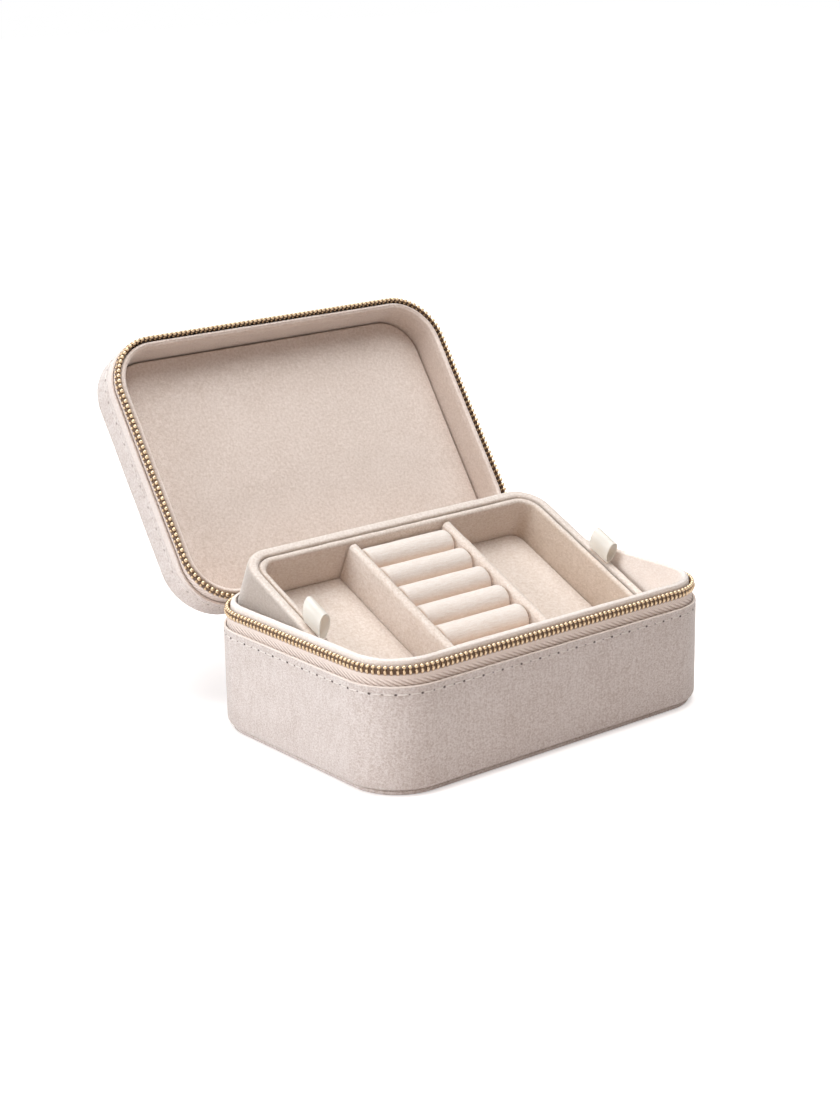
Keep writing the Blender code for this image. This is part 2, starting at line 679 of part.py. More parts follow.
def guide_object(name, mesh):
    """A shape that only feeds a Boolean."""
    made = add_object(name, mesh, "zipper_brass")
    made.hide_render = True
    made.display_type = "WIRE"
    return made


def add_boolean(target, other, operation):
    change = target.modifiers.new(operation.lower(), "BOOLEAN")
    change.object = other
    change.operation = operation
    change.solver = "EXACT"


def build_pull():
    """The pull hangs from the pin; its outline has an eye, a neck and a rounded blade."""
    axis = joint_empty("zipper_pull_axis", (SLIDER_X, PIN_Y, PIN_Z), (0, 0, 0))
    half_width = PULL_WIDTH / 2
    foot = half_width - PULL_LENGTH
    outline = [(-PULL_NECK, PULL_TOP_Z), (-PULL_NECK, PULL_NECK_Z), (-half_width, PULL_SHOULDER_Z),
               (-half_width, foot)]
    for step in range(1, 7):
        angle = math.radians(180 + 180 * step / 7)
        outline.append((half_width * math.cos(angle), foot + half_width * math.sin(angle)))
    outline += [(half_width, foot), (half_width, PULL_SHOULDER_Z), (PULL_NECK, PULL_NECK_Z),
                (PULL_NECK, PULL_TOP_Z)]
    half = PULL_THICKNESS / 2
    mesh = bmesh.new()
    add_loft(mesh, [[(x, y, z) for x, z in outline] for y in (half, -half)], closed=False)
    blade = add_object("zipper_pull", mesh, "zipper_brass", axis)
    rings = []
    for step in range(EYE_SIDES):
        angle = 2 * math.pi * step / EYE_SIDES
        rings.append([(x, radius * math.cos(angle), radius * math.sin(angle))
                      for x, radius in ((-PULL_EYE_HALF, PULL_EYE_BORE),
                                        (PULL_EYE_HALF, PULL_EYE_BORE),
                                        (PULL_EYE_HALF, PULL_EYE_RADIUS),
                                        (-PULL_EYE_HALF, PULL_EYE_RADIUS))])
    eye = bmesh.new()
    add_loft(eye, rings, closed=True)
    guide = guide_object("eye", eye)
    guide.parent = axis
    add_boolean(blade, guide, "UNION")


def main():
    for thing in list(bpy.data.objects):
        bpy.data.objects.remove(thing, do_unlink=True)
    build_base()
    hinge = (0.0, HINGE_Y, HINGE_Z)
    lid_empty = joint_empty("lid_hinge_axis", hinge, (-LID_OPEN_ANGLE, 0, 0))
    build_lid((lid_empty, hinge))
    pivot = propped_pivot()
    tray_origin = (0.0, pivot.x, pivot.y)
    tray_empty = joint_empty("tray_tilt_axis", tray_origin, (TRAY_TILT, 0, 0))
    build_tray((tray_empty, tray_origin))
    build_tabs(tray_empty, tray_origin)
    build_slider()
    build_pull()


main()
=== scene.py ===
"""Looks of the travel jewelry case: velvet, zipper, padding, ribbon, light and camera.

Lengths are in millimetres and become metres where a mesh is made. Pieces of the lid are drawn
as if the lid were shut and pieces of the tray as if it lay flat; each then gets the turn that
its body has in the rest pose, about the joint that the frame gives.
"""
import json
import math

import bmesh
import bpy
from mathutils import Matrix, Vector, noise

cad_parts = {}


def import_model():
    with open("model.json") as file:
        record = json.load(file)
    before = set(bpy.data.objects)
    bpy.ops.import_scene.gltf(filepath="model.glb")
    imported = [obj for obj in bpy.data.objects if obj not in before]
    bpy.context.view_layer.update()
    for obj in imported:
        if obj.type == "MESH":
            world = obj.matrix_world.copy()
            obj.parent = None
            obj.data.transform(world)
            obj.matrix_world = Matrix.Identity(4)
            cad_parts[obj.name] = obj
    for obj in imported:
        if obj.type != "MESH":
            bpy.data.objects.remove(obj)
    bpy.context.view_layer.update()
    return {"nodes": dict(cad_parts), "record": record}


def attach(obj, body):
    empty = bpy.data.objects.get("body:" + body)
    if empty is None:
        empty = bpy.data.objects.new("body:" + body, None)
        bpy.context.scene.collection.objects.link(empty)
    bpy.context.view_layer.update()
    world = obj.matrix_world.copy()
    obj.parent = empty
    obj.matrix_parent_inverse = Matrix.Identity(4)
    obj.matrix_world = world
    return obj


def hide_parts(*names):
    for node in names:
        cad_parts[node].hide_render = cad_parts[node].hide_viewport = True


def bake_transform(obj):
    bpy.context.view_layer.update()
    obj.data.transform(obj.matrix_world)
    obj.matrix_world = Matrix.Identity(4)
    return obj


MM = 0.001

# ---- case, as the solids have it ------------------------------------------------------
CASE_LENGTH = 160.0
CASE_DEPTH = 110.5
CORNER_RADIUS = 21.3
GAP = 0.3                      # between pieces that stay clear of each other
RIM_INSET = 2.8
RIM_THICKNESS = 2.5
REAR_RIM_THICKNESS = 1.6
WALL_INSET = RIM_INSET + RIM_THICKNESS
COVER_THICKNESS = 1.05
COVER_TURN = 1.0               # thickness where the cover turns in over the board
COVER_EDGE_ROUND = 0.5
GROOVE_DEPTH = 0.16            # the stitches pull a shallow groove into the velvet
GROOVE_HALF = 0.9
BASE_COVER_BOTTOM = 1.9
BASE_COVER_TOP = 40.0
BASE_FLOOR_TOP = 5.0
FLOOR_PAD_TOP = 8.1
BASE_RIM_TOP = 49.0
LID_COVER_BOTTOM = 55.85
LID_COVER_TOP = 68.3
LID_PANEL_TOP = 69.9
LID_PLATE_BOTTOM = 65.2
LID_RIM_BOTTOM = 49.35
LID_PAD_FACE = 62.2
LID_PAD_CROWN = 0.9

# ---- zipper ---------------------------------------------------------------------------
ZIP_INSET = 1.5                # from the outline of the case to the line of the teeth
FOLD_REACH = 0.14              # how far the velvet's turned edge reaches past the cover
LID_FOLD_REACH = 3.0           # and at the lid, where it hides part of the tape
FOLD_NARROWS_FROM = 34.5       # y from which the lid's fold narrows, clear of the pull
FOLD_NARROW_AT = 50.0          # y at which it is down to the reach of the base's fold
TOOTH_PITCH = 2.117            # 12 teeth to the inch
TOOTH_SIDES = 12
NECK_SHADE = "neck_shade"
# height above the root, half width across the tape, half length along it, how square the
# section is, and how much painted shade darkens its brass
TOOTH_LEVELS = ((0.0, 0.48, 0.42, 0.6, 0.15), (0.25, 0.70, 0.52, 0.6, 0.0),
                (0.7, 0.98, 0.57, 0.6, 0.0), (1.2, 1.14, 0.57, 0.6, 0.0),
                (1.55, 1.10, 0.55, 0.6, 0.05), (1.8, 0.84, 0.50, 0.7, 0.6),
                (2.0, 0.56, 0.46, 0.9, 0.95), (2.15, 0.54, 0.54, 1.0, 0.7),
                (2.4, 0.70, 0.74, 1.0, 0.15), (2.7, 0.80, 0.87, 1.0, 0.0),
                (2.97, 0.76, 0.83, 1.0, 0.0), (3.2, 0.58, 0.62, 1.0, 0.0),
                (3.34, 0.32, 0.34, 1.0, 0.0), (3.4, 0.08, 0.08, 1.0, 0.0))
BASE_TOOTH_ROOT = 43.9
LID_TOOTH_ROOT = 51.65
BASE_TAPE_BOTTOM = 33.8
LID_TAPE_TOP = 61.9
CHAIN_END_X = 52.0
BASE_TAPE_END_X = 43.0
TAPE_HALF = 0.22               # half thickness of the tape, and of its cord by the teeth
CORD_HALF = 0.42
TAPE_STEP = 1.0

# ---- hinge ----------------------------------------------------------------------------
HINGE_STRIP_HALF = 42.0
HINGE_STRIP_Y = 53.58
HINGE_STRIP_THICKNESS = 0.76
HINGE_STRIP_CLEAR = 1.45       # the strip runs straight up to this far from its axis
HINGE_EASE = 0.9               # how far the fold still follows the straight parts

# ---- tray -----------------------------------------------------------------------------
TRAY_HALF_LENGTH = 72.5
TRAY_REAR_Y = 47.6
TRAY_DEPTH = 97.2
TRAY_RADIUS = 13.0
TRAY_TOP = 40.0
TRAY_BASE = 20.0
SHELL_WALL = 3.0
TRAY_LIP = 4.1                 # how far the shell's rolled edge reaches over the lining
SHELL_FLOOR_TOP = TRAY_BASE + 2.0
LINER_INSET = 3.4
LINER_TOP = TRAY_TOP - 0.5
LINER_INNER = 7.0
LINER_DRAFT = 0.8
LINER_FRONT_THINNER = 1.1
TRAY_PAD_TOP = TRAY_TOP - 16.5
DIVIDER_X = 22.9
DIVIDER_THICKNESS = 4.4
DIVIDER_TOP = TRAY_TOP - 1.2
ROLL_COUNT = 7
ROLL_RADIUS = 5.78
ROLL_PITCH = 11.86
ROLL_Z = TRAY_TOP - 7.5
ROLL_FIRST_Y = TRAY_REAR_Y - 13.43
ROLL_HALF_LENGTH = 20.3
LOWER_DIVIDER_THICKNESS = 2.6
CROSS_DIVIDER_Y = -9.0
SHORT_DIVIDER_X = 24.0

# ---- ribbon ---------------------------------------------------------------------------
TAB_Y = TRAY_REAR_Y - 47.5
TAB_WIDTH = 10.5
TAB_HEIGHT = 8.4
TAB_SPREAD = 6.2
TAB_THICKNESS = 0.3
TAB_ROOT_NARROWING = 0.35
TAB_ROOT_INSET = 3.2
TAB_ROOT_Z = TRAY_TOP + 0.35
TAB_LEAN = math.radians(20.0)
LEFT_TAB_SLANT = 4.5           # how far the fold lies behind the root
RIGHT_TAB_SLANT = 1.8

# ---- fineness -------------------------------------------------------------------------
RIBBON_STEPS = 40
RIBBON_SLICES = 12
CORNER_STEPS = 14
LONG_SIDE_STEPS = 36
SHORT_SIDE_STEPS = 24
EDGE_STEPS = 5
ROLL_SIDES = 48
HINGE_STEPS = 8
THREAD_SIDES = 6
HOLE_SIDES = 8

# ---- stitching ------------------------------------------------------------------------
RIB_PITCH = 2.65               # slanting ribs of the tape
RIB_SLANT = 1.98
STITCH_PITCH = 4.35
STITCH_DROP = 2.65             # from the edge of the cover
STITCH_MARGIN = 0.5            # left bare at both ends of a stitch
STITCH_SINK = 0.1
STITCH_DIP = 0.12              # how much deeper its ends go
THREAD_RADIUS = 0.21
HOLE_RADII = (0.2, 0.40)       # by turns

# ---- camera, as solved from the photograph --------------------------------------------
CAMERA_PLACE = (-0.5010, -0.5959, 0.2943)
CAMERA_AZIMUTH = math.radians(38.915)
CAMERA_ELEVATION = math.radians(16.805)
CAMERA_ROLL = math.radians(-1.022)
CAMERA_LENS = 70.5
CAMERA_SENSOR = 36.0

# ---- lamps, floor and room (m, W) -----------------------------------------------------
LAMP_TARGET = (0.0, 0.0, 0.05)
# name, place, side of the square, power and colour
LAMPS = (("key", (-1.0, 0.22, 0.52), 0.6, 7.2, (0.95, 1.0, 1.05)),
         ("overhead", (0.05, 0.05, 1.1), 0.9, 14.0, (0.95, 0.98, 1.0)),
         ("fill", (-0.45, -0.62, 0.35), 0.4, 0.8, (1.0, 0.80, 0.73)),
         ("side", (0.9, -0.5, 0.5), 0.6, 0.25, (1.0, 0.85, 0.77)))
FLOOR_HALF = 4.0
FLOOR_Z = -0.0002
FLOOR_COLOUR = (0.88, 0.83, 0.81, 1)
# what the camera sees on top of the floor's own light, by distance from the case
FLOOR_GLOW_NEAR = 0.5
FLOOR_GLOW_FAR = 1.0
FLOOR_NEAR = 0.12
FLOOR_FAR = 0.40
ROOM_COLOUR = (1.0, 0.90, 0.83, 1)
ROOM_STRENGTH = 0.06


# ==== scene ============================================================================
def add_camera():
    forward = Vector((math.cos(CAMERA_ELEVATION) * math.sin(CAMERA_AZIMUTH),
                      math.cos(CAMERA_ELEVATION) * math.cos(CAMERA_AZIMUTH),
                      -math.sin(CAMERA_ELEVATION)))
    level = Vector((math.cos(CAMERA_AZIMUTH), -math.sin(CAMERA_AZIMUTH), 0.0))
    above = level.cross(forward)
    right = level * math.cos(CAMERA_ROLL) + above * math.sin(CAMERA_ROLL)
    up = above * math.cos(CAMERA_ROLL) - level * math.sin(CAMERA_ROLL)
    data = bpy.data.cameras.new("camera")
    data.lens = CAMERA_LENS
    data.sensor_width = CAMERA_SENSOR
    camera = bpy.data.objects.new("camera", data)
    turn = Matrix((right, up, -forward)).transposed().to_4x4()
    camera.matrix_world = Matrix.Translation(CAMERA_PLACE) @ turn
    bpy.context.scene.collection.objects.link(camera)
    bpy.context.scene.camera = camera


def add_lamps():
    for name, place, side, power, colour in LAMPS:
        data = bpy.data.lights.new(name, "AREA")
        data.shape = "RECTANGLE"
        data.size = data.size_y = side
        data.energy = power
        data.color = colour
        lamp = bpy.data.objects.new(name, data)
        lamp.location = place
        aim = Vector(LAMP_TARGET) - Vector(place)
        lamp.rotation_euler = aim.to_track_quat("-Z", "Y").to_euler()
        bpy.context.scene.collection.objects.link(lamp)


def add_seen(tree):
    """One for the rays that see the background, straight, mirrored or through glass."""
    path = tree.nodes.new("ShaderNodeLightPath")
    seen = add_maths(tree, "MAXIMUM", path.outputs["Is Camera Ray"],
                     path.outputs["Is Glossy Ray"])
    return add_maths(tree, "MAXIMUM", seen, path.outputs["Is Transmission Ray"])


def add_world():
    """White where the background is seen, and elsewhere the room's faint warm light."""
    world = bpy.data.worlds.new("studio")
    bpy.context.scene.world = world
    world.use_nodes = True
    tree = world.node_tree
    tree.nodes.clear()
    white = add_node(tree, "Background", {"Color": (1, 1, 1, 1), "Strength": 1.0})
    soft = add_node(tree, "Background", {"Color": ROOM_COLOUR, "Strength": ROOM_STRENGTH})
    mix = add_node(tree, "MixShader", {0: add_seen(tree), 1: soft.outputs[0],
                                       2: white.outputs[0]})
    add_node(tree, "OutputWorld", {"Surface": mix.outputs[0]})


def add_floor():
    mesh = bpy.data.meshes.new("floor")
    corners = [(x * FLOOR_HALF, y * FLOOR_HALF, 0)
               for x, y in ((-1, -1), (1, -1), (1, 1), (-1, 1))]
    mesh.from_pydata(corners, [], [(0, 1, 2, 3)])
    floor = bpy.data.objects.new("floor", mesh)
    floor.location.z = FLOOR_Z
    bpy.context.scene.collection.objects.link(floor)
    made = bpy.data.materials.new("floor")
    made.use_nodes = True
    tree = made.node_tree
    tree.nodes.clear()
    spot = tree.nodes.new("ShaderNodeNewGeometry")
    distance = tree.nodes.new("ShaderNodeVectorMath")
    distance.operation = "LENGTH"
    tree.links.new(spot.outputs["Position"], distance.inputs[0])
    level = add_range(tree, distance.outputs["Value"], FLOOR_GLOW_NEAR, FLOOR_GLOW_FAR,
                      FLOOR_NEAR, FLOOR_FAR)
    share = add_maths(tree, "MULTIPLY", add_seen(tree), level)
    matte = add_node(tree, "BsdfDiffuse", {"Color": FLOOR_COLOUR})
    glow = add_node(tree, "Emission", {"Color": (1, 1, 1, 1), "Strength": share})
    both = add_node(tree, "AddShader", {0: matte.outputs[0], 1: glow.outputs[0]})
    add_node(tree, "OutputMaterial", {"Surface": both.outputs[0]})
    mesh.materials.append(made)


# ==== material helpers =================================================================
def feed(tree, node, values):
    """Link inputs of a node to the outputs of others, or set them to plain values."""
    for key, value in values.items():
        if isinstance(value, bpy.types.NodeSocket):
            tree.links.new(value, node.inputs[key])
        else:
            node.inputs[key].default_value = value
    return node


def add_node(tree, kind, values):
    return feed(tree, tree.nodes.new("ShaderNode" + kind), values)


def add_maths(tree, operation, first, second):
    node = tree.nodes.new("ShaderNodeMath")
    node.operation = operation
    return feed(tree, node, {0: first, 1: second}).outputs[0]


def add_noise(tree, coordinates, scale, detail=3.0, roughness=0.6):
    values = {"Vector": coordinates, "Scale": scale, "Detail": detail, "Roughness": roughness}
    return add_node(tree, "TexNoise", values).outputs["Fac"]


def add_coordinates(tree, stretch=(1.0, 1.0, 1.0)):
    """Object coordinates in millimetres, scaled along each axis by stretch."""
    texture = tree.nodes.new("ShaderNodeTexCoord")
    values = {"Vector": texture.outputs["Object"], "Scale": [value / MM for value in stretch]}
    return add_node(tree, "Mapping", values).outputs[0]


def add_split(tree, source):
    """The x, y and z outputs of one of the texture coordinates."""
    texture = tree.nodes.new("ShaderNodeTexCoord")
    return add_node(tree, "SeparateXYZ", {0: texture.outputs[source]}).outputs


def add_range(tree, value, low, high, from_low=0.3, from_high=0.7):
    """A value mapped to low..high, by default from the span that noise fills."""
    values = {"Value": value, "From Min": from_low, "From Max": from_high, "To Min": low,
              "To Max": high}
    return add_node(tree, "MapRange", values).outputs[0]


def add_colour_mix(tree, factor, first, second):
    node = tree.nodes.new("ShaderNodeMix")
    node.data_type = "RGBA"
    first, second = [(*value, 1.0) if isinstance(value, tuple) else value
                     for value in (first, second)]
    return feed(tree, node, {0: factor, 6: first, 7: second}).outputs[2]


def add_bump(tree, height, strength, distance_mm, before=None):
    values = {"Strength": strength, "Distance": distance_mm * MM, "Height": height}
    if before is not None:
        values["Normal"] = before
    return add_node(tree, "Bump", values).outputs[0]


def new_material(name):
    made = bpy.data.materials.new(name)
    made.use_nodes = True
    return made, made.node_tree, made.node_tree.nodes["Principled BSDF"]


def tinted(colour, tint):
    return tuple(value * share for value, share in zip(colour, tint))


def velvet(name, light, dark, pebbles=(0.9, 0.9, 1.5), contrast=1.0, weave=0.0, sheen=0.7,
           side=(1.0, 1.0, 1.0), leftward=None):
    """Short pile: faint patches of nap, pebbled tufts, fine fibres and a pale sheen.

    weave adds the upright lines of a fabric whose rows show across its x direction; side
    darkens the faces that stand upright, and leftward the faces towards -x, both as painted
    shade.
    """
    made, tree, shader = new_material(name)
    plain = add_coordinates(tree)
    tufted = add_coordinates(tree, pebbles)
    patches = add_noise(tree, plain, 0.06, detail=2.0)
    tufts = add_noise(tree, tufted, 1.0, detail=3.0, roughness=0.7)
    fibres = add_noise(tree, plain, 2.8, detail=2.0, roughness=0.7)
    tone = add_maths(tree, "ADD", add_range(tree, patches, 0.04, 0.22),
                     add_range(tree, tufts, -0.25 * contrast, 0.25 + 0.4 * contrast))
    tone = add_maths(tree, "ADD", tone,
                     add_range(tree, fibres, -0.2 * contrast, 0.15 + 0.35 * contrast))
    if weave:
        rows = add_noise(tree, add_coordinates(tree, (1.7, 0.3, 0.15)), 1.0, detail=1.0)
        tone = add_maths(tree, "ADD", tone, add_range(tree, rows, -weave, weave))
    # painted shade: upright faces take the colours tinted by side
    upright = add_colour_mix(tree, tone, tinted(dark, side), tinted(light, side))
    facing = add_split(tree, "Normal")
    flat = add_maths(tree, "ABSOLUTE", facing[2], 0.0)
    colour = add_colour_mix(tree, add_range(tree, flat, 0.0, 1.0, 0.15, 0.8), upright,
                            add_colour_mix(tree, tone, dark, light))
    # painted shade: faces towards -x take the colours tinted by leftward
    if leftward:
        shaded_leftward = add_colour_mix(tree, tone, tinted(dark, leftward), tinted(light, leftward))
        turned = add_range(tree, facing[0], 1.0, 0.0, -0.9, -0.3)
        colour = add_colour_mix(tree, turned, colour, shaded_leftward)
    normal = add_bump(tree, tufts, 0.6 * contrast, 0.3)
    normal = add_bump(tree, fibres, 0.5 * contrast, 0.14, normal)
    feed(tree, shader, {"Base Color": colour, "Normal": normal, "Roughness": 0.9,
                        "Specular IOR Level": 0.2, "Sheen Weight": sheen,
                        "Sheen Roughness": 0.4, "Sheen Tint": (1.0, 0.97, 0.94, 1.0)})
    return made


def tape_material(name, light, dark):
    """Woven tape: long slanting ribs away from the teeth, fine ones, and painted shade on its
    cord among the teeth.
    """
    made, tree, shader = new_material(name)
    along, depth, _ = add_split(tree, "UV")

    def ribs(per_mm, slant):
        slanted = add_maths(tree, "ADD", add_maths(tree, "MULTIPLY", along, per_mm),
                            add_maths(tree, "MULTIPLY", depth, per_mm * slant))
        turned = add_maths(tree, "MULTIPLY", slanted, 2 * math.pi)
        return add_maths(tree, "SINE", turned, 0.0)

    low = add_range(tree, depth, 0.0, 1.0, 2.2, 3.0)
    coarse = add_maths(tree, "MULTIPLY", ribs(1 / RIB_PITCH, RIB_SLANT), low)
    height = add_maths(tree, "ADD", coarse,
                       add_maths(tree, "MULTIPLY", ribs(2.0, 0.0), 0.25))
    height = add_maths(tree, "ADD", height,
                       add_maths(tree, "MULTIPLY", ribs(1.3, 1.0), 0.3))
    woven = add_colour_mix(tree, add_range(tree, height, 0.0, 1.0, -1.1, 0.4), dark, light)
    # painted shade: the cord darkens towards the teeth, where it lies in their shade
    cord_shade = add_range(tree, depth, 1.0, 0.0, 0.5, 1.15)
    feed(tree, shader, {"Base Color": add_colour_mix(tree, cord_shade, woven, (0.13, 0.075, 0.045)),
                        "Normal": add_bump(tree, height, 0.7, 0.12), "Roughness": 0.85,
                        "Sheen Weight": 0.3})
    return made


def brass_material(name, neck_shaded=False):
    """Worn pale brass; teeth also get painted shade in the hollow between bead and shoulders."""
    made, tree, shader = new_material(name)
    plain = add_coordinates(tree)
    wear = add_noise(tree, plain, 0.9, detail=3.0)
    colour = add_colour_mix(tree, wear, (0.44, 0.31, 0.185), (0.62, 0.485, 0.335))
    if neck_shaded:
        # painted shade: darker brass in the neck under each bead, by the share each level of the
        # tooth carries
        hollow = tree.nodes.new("ShaderNodeAttribute")
        hollow.attribute_name = NECK_SHADE
        colour = add_colour_mix(tree, hollow.outputs["Fac"], colour, (0.10, 0.045, 0.015))
    feed(tree, shader, {"Base Color": colour, "Roughness": add_range(tree, wear, 0.16, 0.32),
                        "Metallic": 1.0})
    return made


def satin_material(name):
    """Ivory ribbon: close lengthwise threads, a soft highlight, light coming through."""
    made, tree, shader = new_material(name)
    threads = add_coordinates(tree, (1.0, 9.0, 1.0))
    weave = add_noise(tree, threads, 1.2, detail=2.0)
    colour = add_colour_mix(tree, weave, (1.0, 0.88, 0.71), (1.0, 0.93, 0.80))
    feed(tree, shader, {"Base Color": colour, "Normal": add_bump(tree, weave, 0.25, 0.05),
                        "Roughness": 0.3, "Sheen Weight": 0.3, "Specular IOR Level": 0.35,
                        "Subsurface Weight": 0.8, "Subsurface Radius": (1.0, 1.0, 1.0),
                        "Subsurface Scale": 0.0025})
    return made


def matte_material(name, colour, roughness=0.7):
    """One colour with a fine grain, for thread, the painted shade of needle holes, and bare
    board.
    """
    made, tree, shader = new_material(name)
    twist = add_noise(tree, add_coordinates(tree), 3.0, detail=2.0)
    darker = tuple(value * 0.75 for value in colour)
    feed(tree, shader, {"Base Color": add_colour_mix(tree, twist, darker, colour),
                        "Roughness": roughness})
    return made


def make_materials():
    return {
        "outer": velvet("outer_velvet", (0.81, 0.74, 0.70), (0.56, 0.465, 0.415),
                        pebbles=(1.1, 1.1, 1.5), contrast=1.4, weave=0.13),
        "lining": velvet("lining_velvet", (0.86, 0.765, 0.695), (0.66, 0.54, 0.45), sheen=0.9),
        # the tray's shell: upright faces and faces towards -x darkened as painted shade
        "tray": velvet("tray_velvet", (0.88, 0.79, 0.72), (0.68, 0.57, 0.49), sheen=1.0,
                       side=(0.72, 0.71, 0.70), leftward=(0.62, 0.61, 0.60)),
        # faces towards -x darkened as painted shade
        "tray_wall": velvet("tray_wall_velvet", (0.86, 0.765, 0.695), (0.66, 0.54, 0.45),
                            sheen=0.9, leftward=(0.81, 0.76, 0.70)),
        # lighter than the lining, with its upright faces darkened as painted shade
        "lid_rim": velvet("lid_rim_velvet", (0.93, 0.82, 0.75), (0.74, 0.61, 0.53), sheen=1.0,
                          side=(0.76, 0.73, 0.70)),
        # a lighter copy of the lining: painted light on the base rim, which lies in the teeth's
        # shade
        "rim": velvet("base_rim_velvet", (1.0, 0.92, 0.86), (0.86, 0.75, 0.67), sheen=1.0,
                      contrast=0.8),
        "ceiling": velvet("ceiling_velvet", (0.89, 0.78, 0.71), (0.68, 0.56, 0.48)),
        # upright faces tinted darker and warmer: painted shade with warm bounced light
        "roll": velvet("roll_velvet", (0.88, 0.81, 0.75), (0.77, 0.66, 0.58),
                       pebbles=(0.3, 1.6, 1.6), contrast=0.9, side=(1.0, 0.90, 0.82)),
        # lighter copies of the outer velvet: a painted highlight along the turned edge
        "fold": velvet("velvet_fold", (0.96, 0.87, 0.80), (0.85, 0.73, 0.65), contrast=0.6),
        "lid_fold": velvet("lid_velvet_fold", (0.90, 0.82, 0.765), (0.70, 0.60, 0.54),
                           contrast=0.7),
        "tape": tape_material("zipper_tape", (0.96, 0.84, 0.76), (0.55, 0.42, 0.35)),
        "brass": brass_material("zipper_brass"),
        # with painted shade in the neck of each tooth
        "teeth": brass_material("zipper_teeth_brass", neck_shaded=True),
        "satin": satin_material("ribbon_satin"),
        "thread": matte_material("stitch_thread", (0.97, 0.90, 0.84)),
        # dark spots of painted shade where the thread goes into the velvet
        "hole": matte_material("stitch_hole", (0.13, 0.10, 0.09), 0.9),
        "lid_hole": matte_material("lid_stitch_hole", (0.50, 0.42, 0.38), 0.9),
        "board": matte_material("grey_board", (0.42, 0.40, 0.37), 0.9),
    }


# ==== outlines =========================================================================
def make_plan(x_min, x_max, y_min, y_max, radii):
    """An outline seen from above, with its four corner radii from rear right to front right."""
    if not isinstance(radii, tuple):
        radii = (radii,) * 4
    return x_min, x_max, y_min, y_max, radii


CASE_PLAN = make_plan(-CASE_LENGTH / 2, CASE_LENGTH / 2, -CASE_DEPTH / 2, CASE_DEPTH / 2,
                      CORNER_RADIUS)
TRAY_PLAN = make_plan(-TRAY_HALF_LENGTH, TRAY_HALF_LENGTH, TRAY_REAR_Y - TRAY_DEPTH,
                      TRAY_REAR_Y, TRAY_RADIUS)


def plan_ring(plan, inset, z, front=0.0, rear=0.0):
    """Points round a plan shrunk by inset, its front and rear shifted outwards if asked."""
    x_min, x_max, y_min, y_max, radii = plan
    corners = ((x_max, y_max, 1, 1), (x_min, y_max, -1, 1), (x_min, y_min, -1, -1),
               (x_max, y_min, 1, -1))
    arcs = []
    for quarter, (x, y, sign_x, sign_y) in enumerate(corners):
        radius = max(radii[quarter] - inset, 0.2)
        push = rear if sign_y > 0 else -front
        centre = Vector((x - sign_x * (inset + radius), y - sign_y * (inset + radius) + push))
        arc = []
        for step in range(CORNER_STEPS + 1):
            angle = math.radians(90.0 * (quarter + step / CORNER_STEPS))
            arc.append(centre + Vector((math.cos(angle), math.sin(angle))) * radius)
        arcs.append(arc)
    points = []
    for quarter, arc in enumerate(arcs):
        points += arc
        after = arcs[(quarter + 1) % 4][0]
        steps = LONG_SIDE_STEPS if quarter % 2 == 0 else SHORT_SIDE_STEPS
        points += [arc[-1].lerp(after, step / steps) for step in range(1, steps)]
    return [Vector((point.x, point.y, z)) for point in points]


def round_corners(corners, closed, steps=EDGE_STEPS):
    """Replace each (across, up, radius) corner of a profile by an arc of that radius."""
    count = len(corners)
    points = []
    for index, (across, up, radius) in enumerate(corners):
        here = Vector((across, up))
        if radius == 0 or (not closed and index in (0, count - 1)):
            points.append(here)
            continue
        before = (Vector(corners[index - 1][:2]) - here).normalized()
        after = (Vector(corners[(index + 1) % count][:2]) - here).normalized()
        half_angle = before.angle(after) / 2
        reach = radius / math.tan(half_angle)
        centre = here + (before + after).normalized() * (radius / math.sin(half_angle))
        start = (here + before * reach - centre).normalized()
        end = (here + after * reach - centre).normalized()
        points += [centre + start.slerp(end, step / steps) * radius
                   for step in range(steps + 1)]
    return points


# ==== meshes ===========================================================================
def add_loft(mesh, rings, closed):
    """Skin the rings one to the next, and either join the last to the first or cap both."""
    made = [[mesh.verts.new(Vector(point) * MM) for point in ring] for ring in rings]
    count = len(made[0])
    pairs = list(zip(made, made[1:]))
    if closed:
        pairs.append((made[-1], made[0]))
    else:
        mesh.faces.new(list(reversed(made[0])))
        mesh.faces.new(made[-1])
    for low, high in pairs:
        for index in range(count):
            after = (index + 1) % count
            mesh.faces.new((low[index], low[after], high[after], high[index]))


def upright_ring(middle, along, z, half_along, half_up, sides):
    """Points round an upright oval, given its middle and its level direction in plan."""
    ring = []
    for step in range(sides):
        angle = 2 * math.pi * step / sides
        spot = middle + along * (half_along * math.cos(angle))
        ring.append((spot.x, spot.y, z + half_up * math.sin(angle)))
    return ring


class Place:
    """Where a piece goes: the body that carries it and the turn that the body has at rest."""

    def __init__(self, body, turn=None):
        self.body = body
        self.turn = turn or Matrix.Identity(4)


def add_piece(name, mesh, material, smooth_angle=50.0):
    bmesh.ops.recalc_face_normals(mesh, faces=mesh.faces)
    data = bpy.data.meshes.new(name)
    mesh.to_mesh(data)
    mesh.free()
    data.materials.append(material)
    data.shade_smooth()
    data.set_sharp_from_angle(angle=math.radians(smooth_angle))
    made = bpy.data.objects.new(name, data)
    bpy.context.scene.collection.objects.link(made)
    return made


def finish_piece(name, mesh, material, place, nodes=(), smooth_angle=50.0):
    """Add a piece, turned as its body is at rest, with what it rides on and replaces."""
    made = add_piece(name, mesh, material, smooth_angle)
    made.matrix_world = place.turn
    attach(made, place.body)
    if nodes:
        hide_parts(*nodes)
    return made


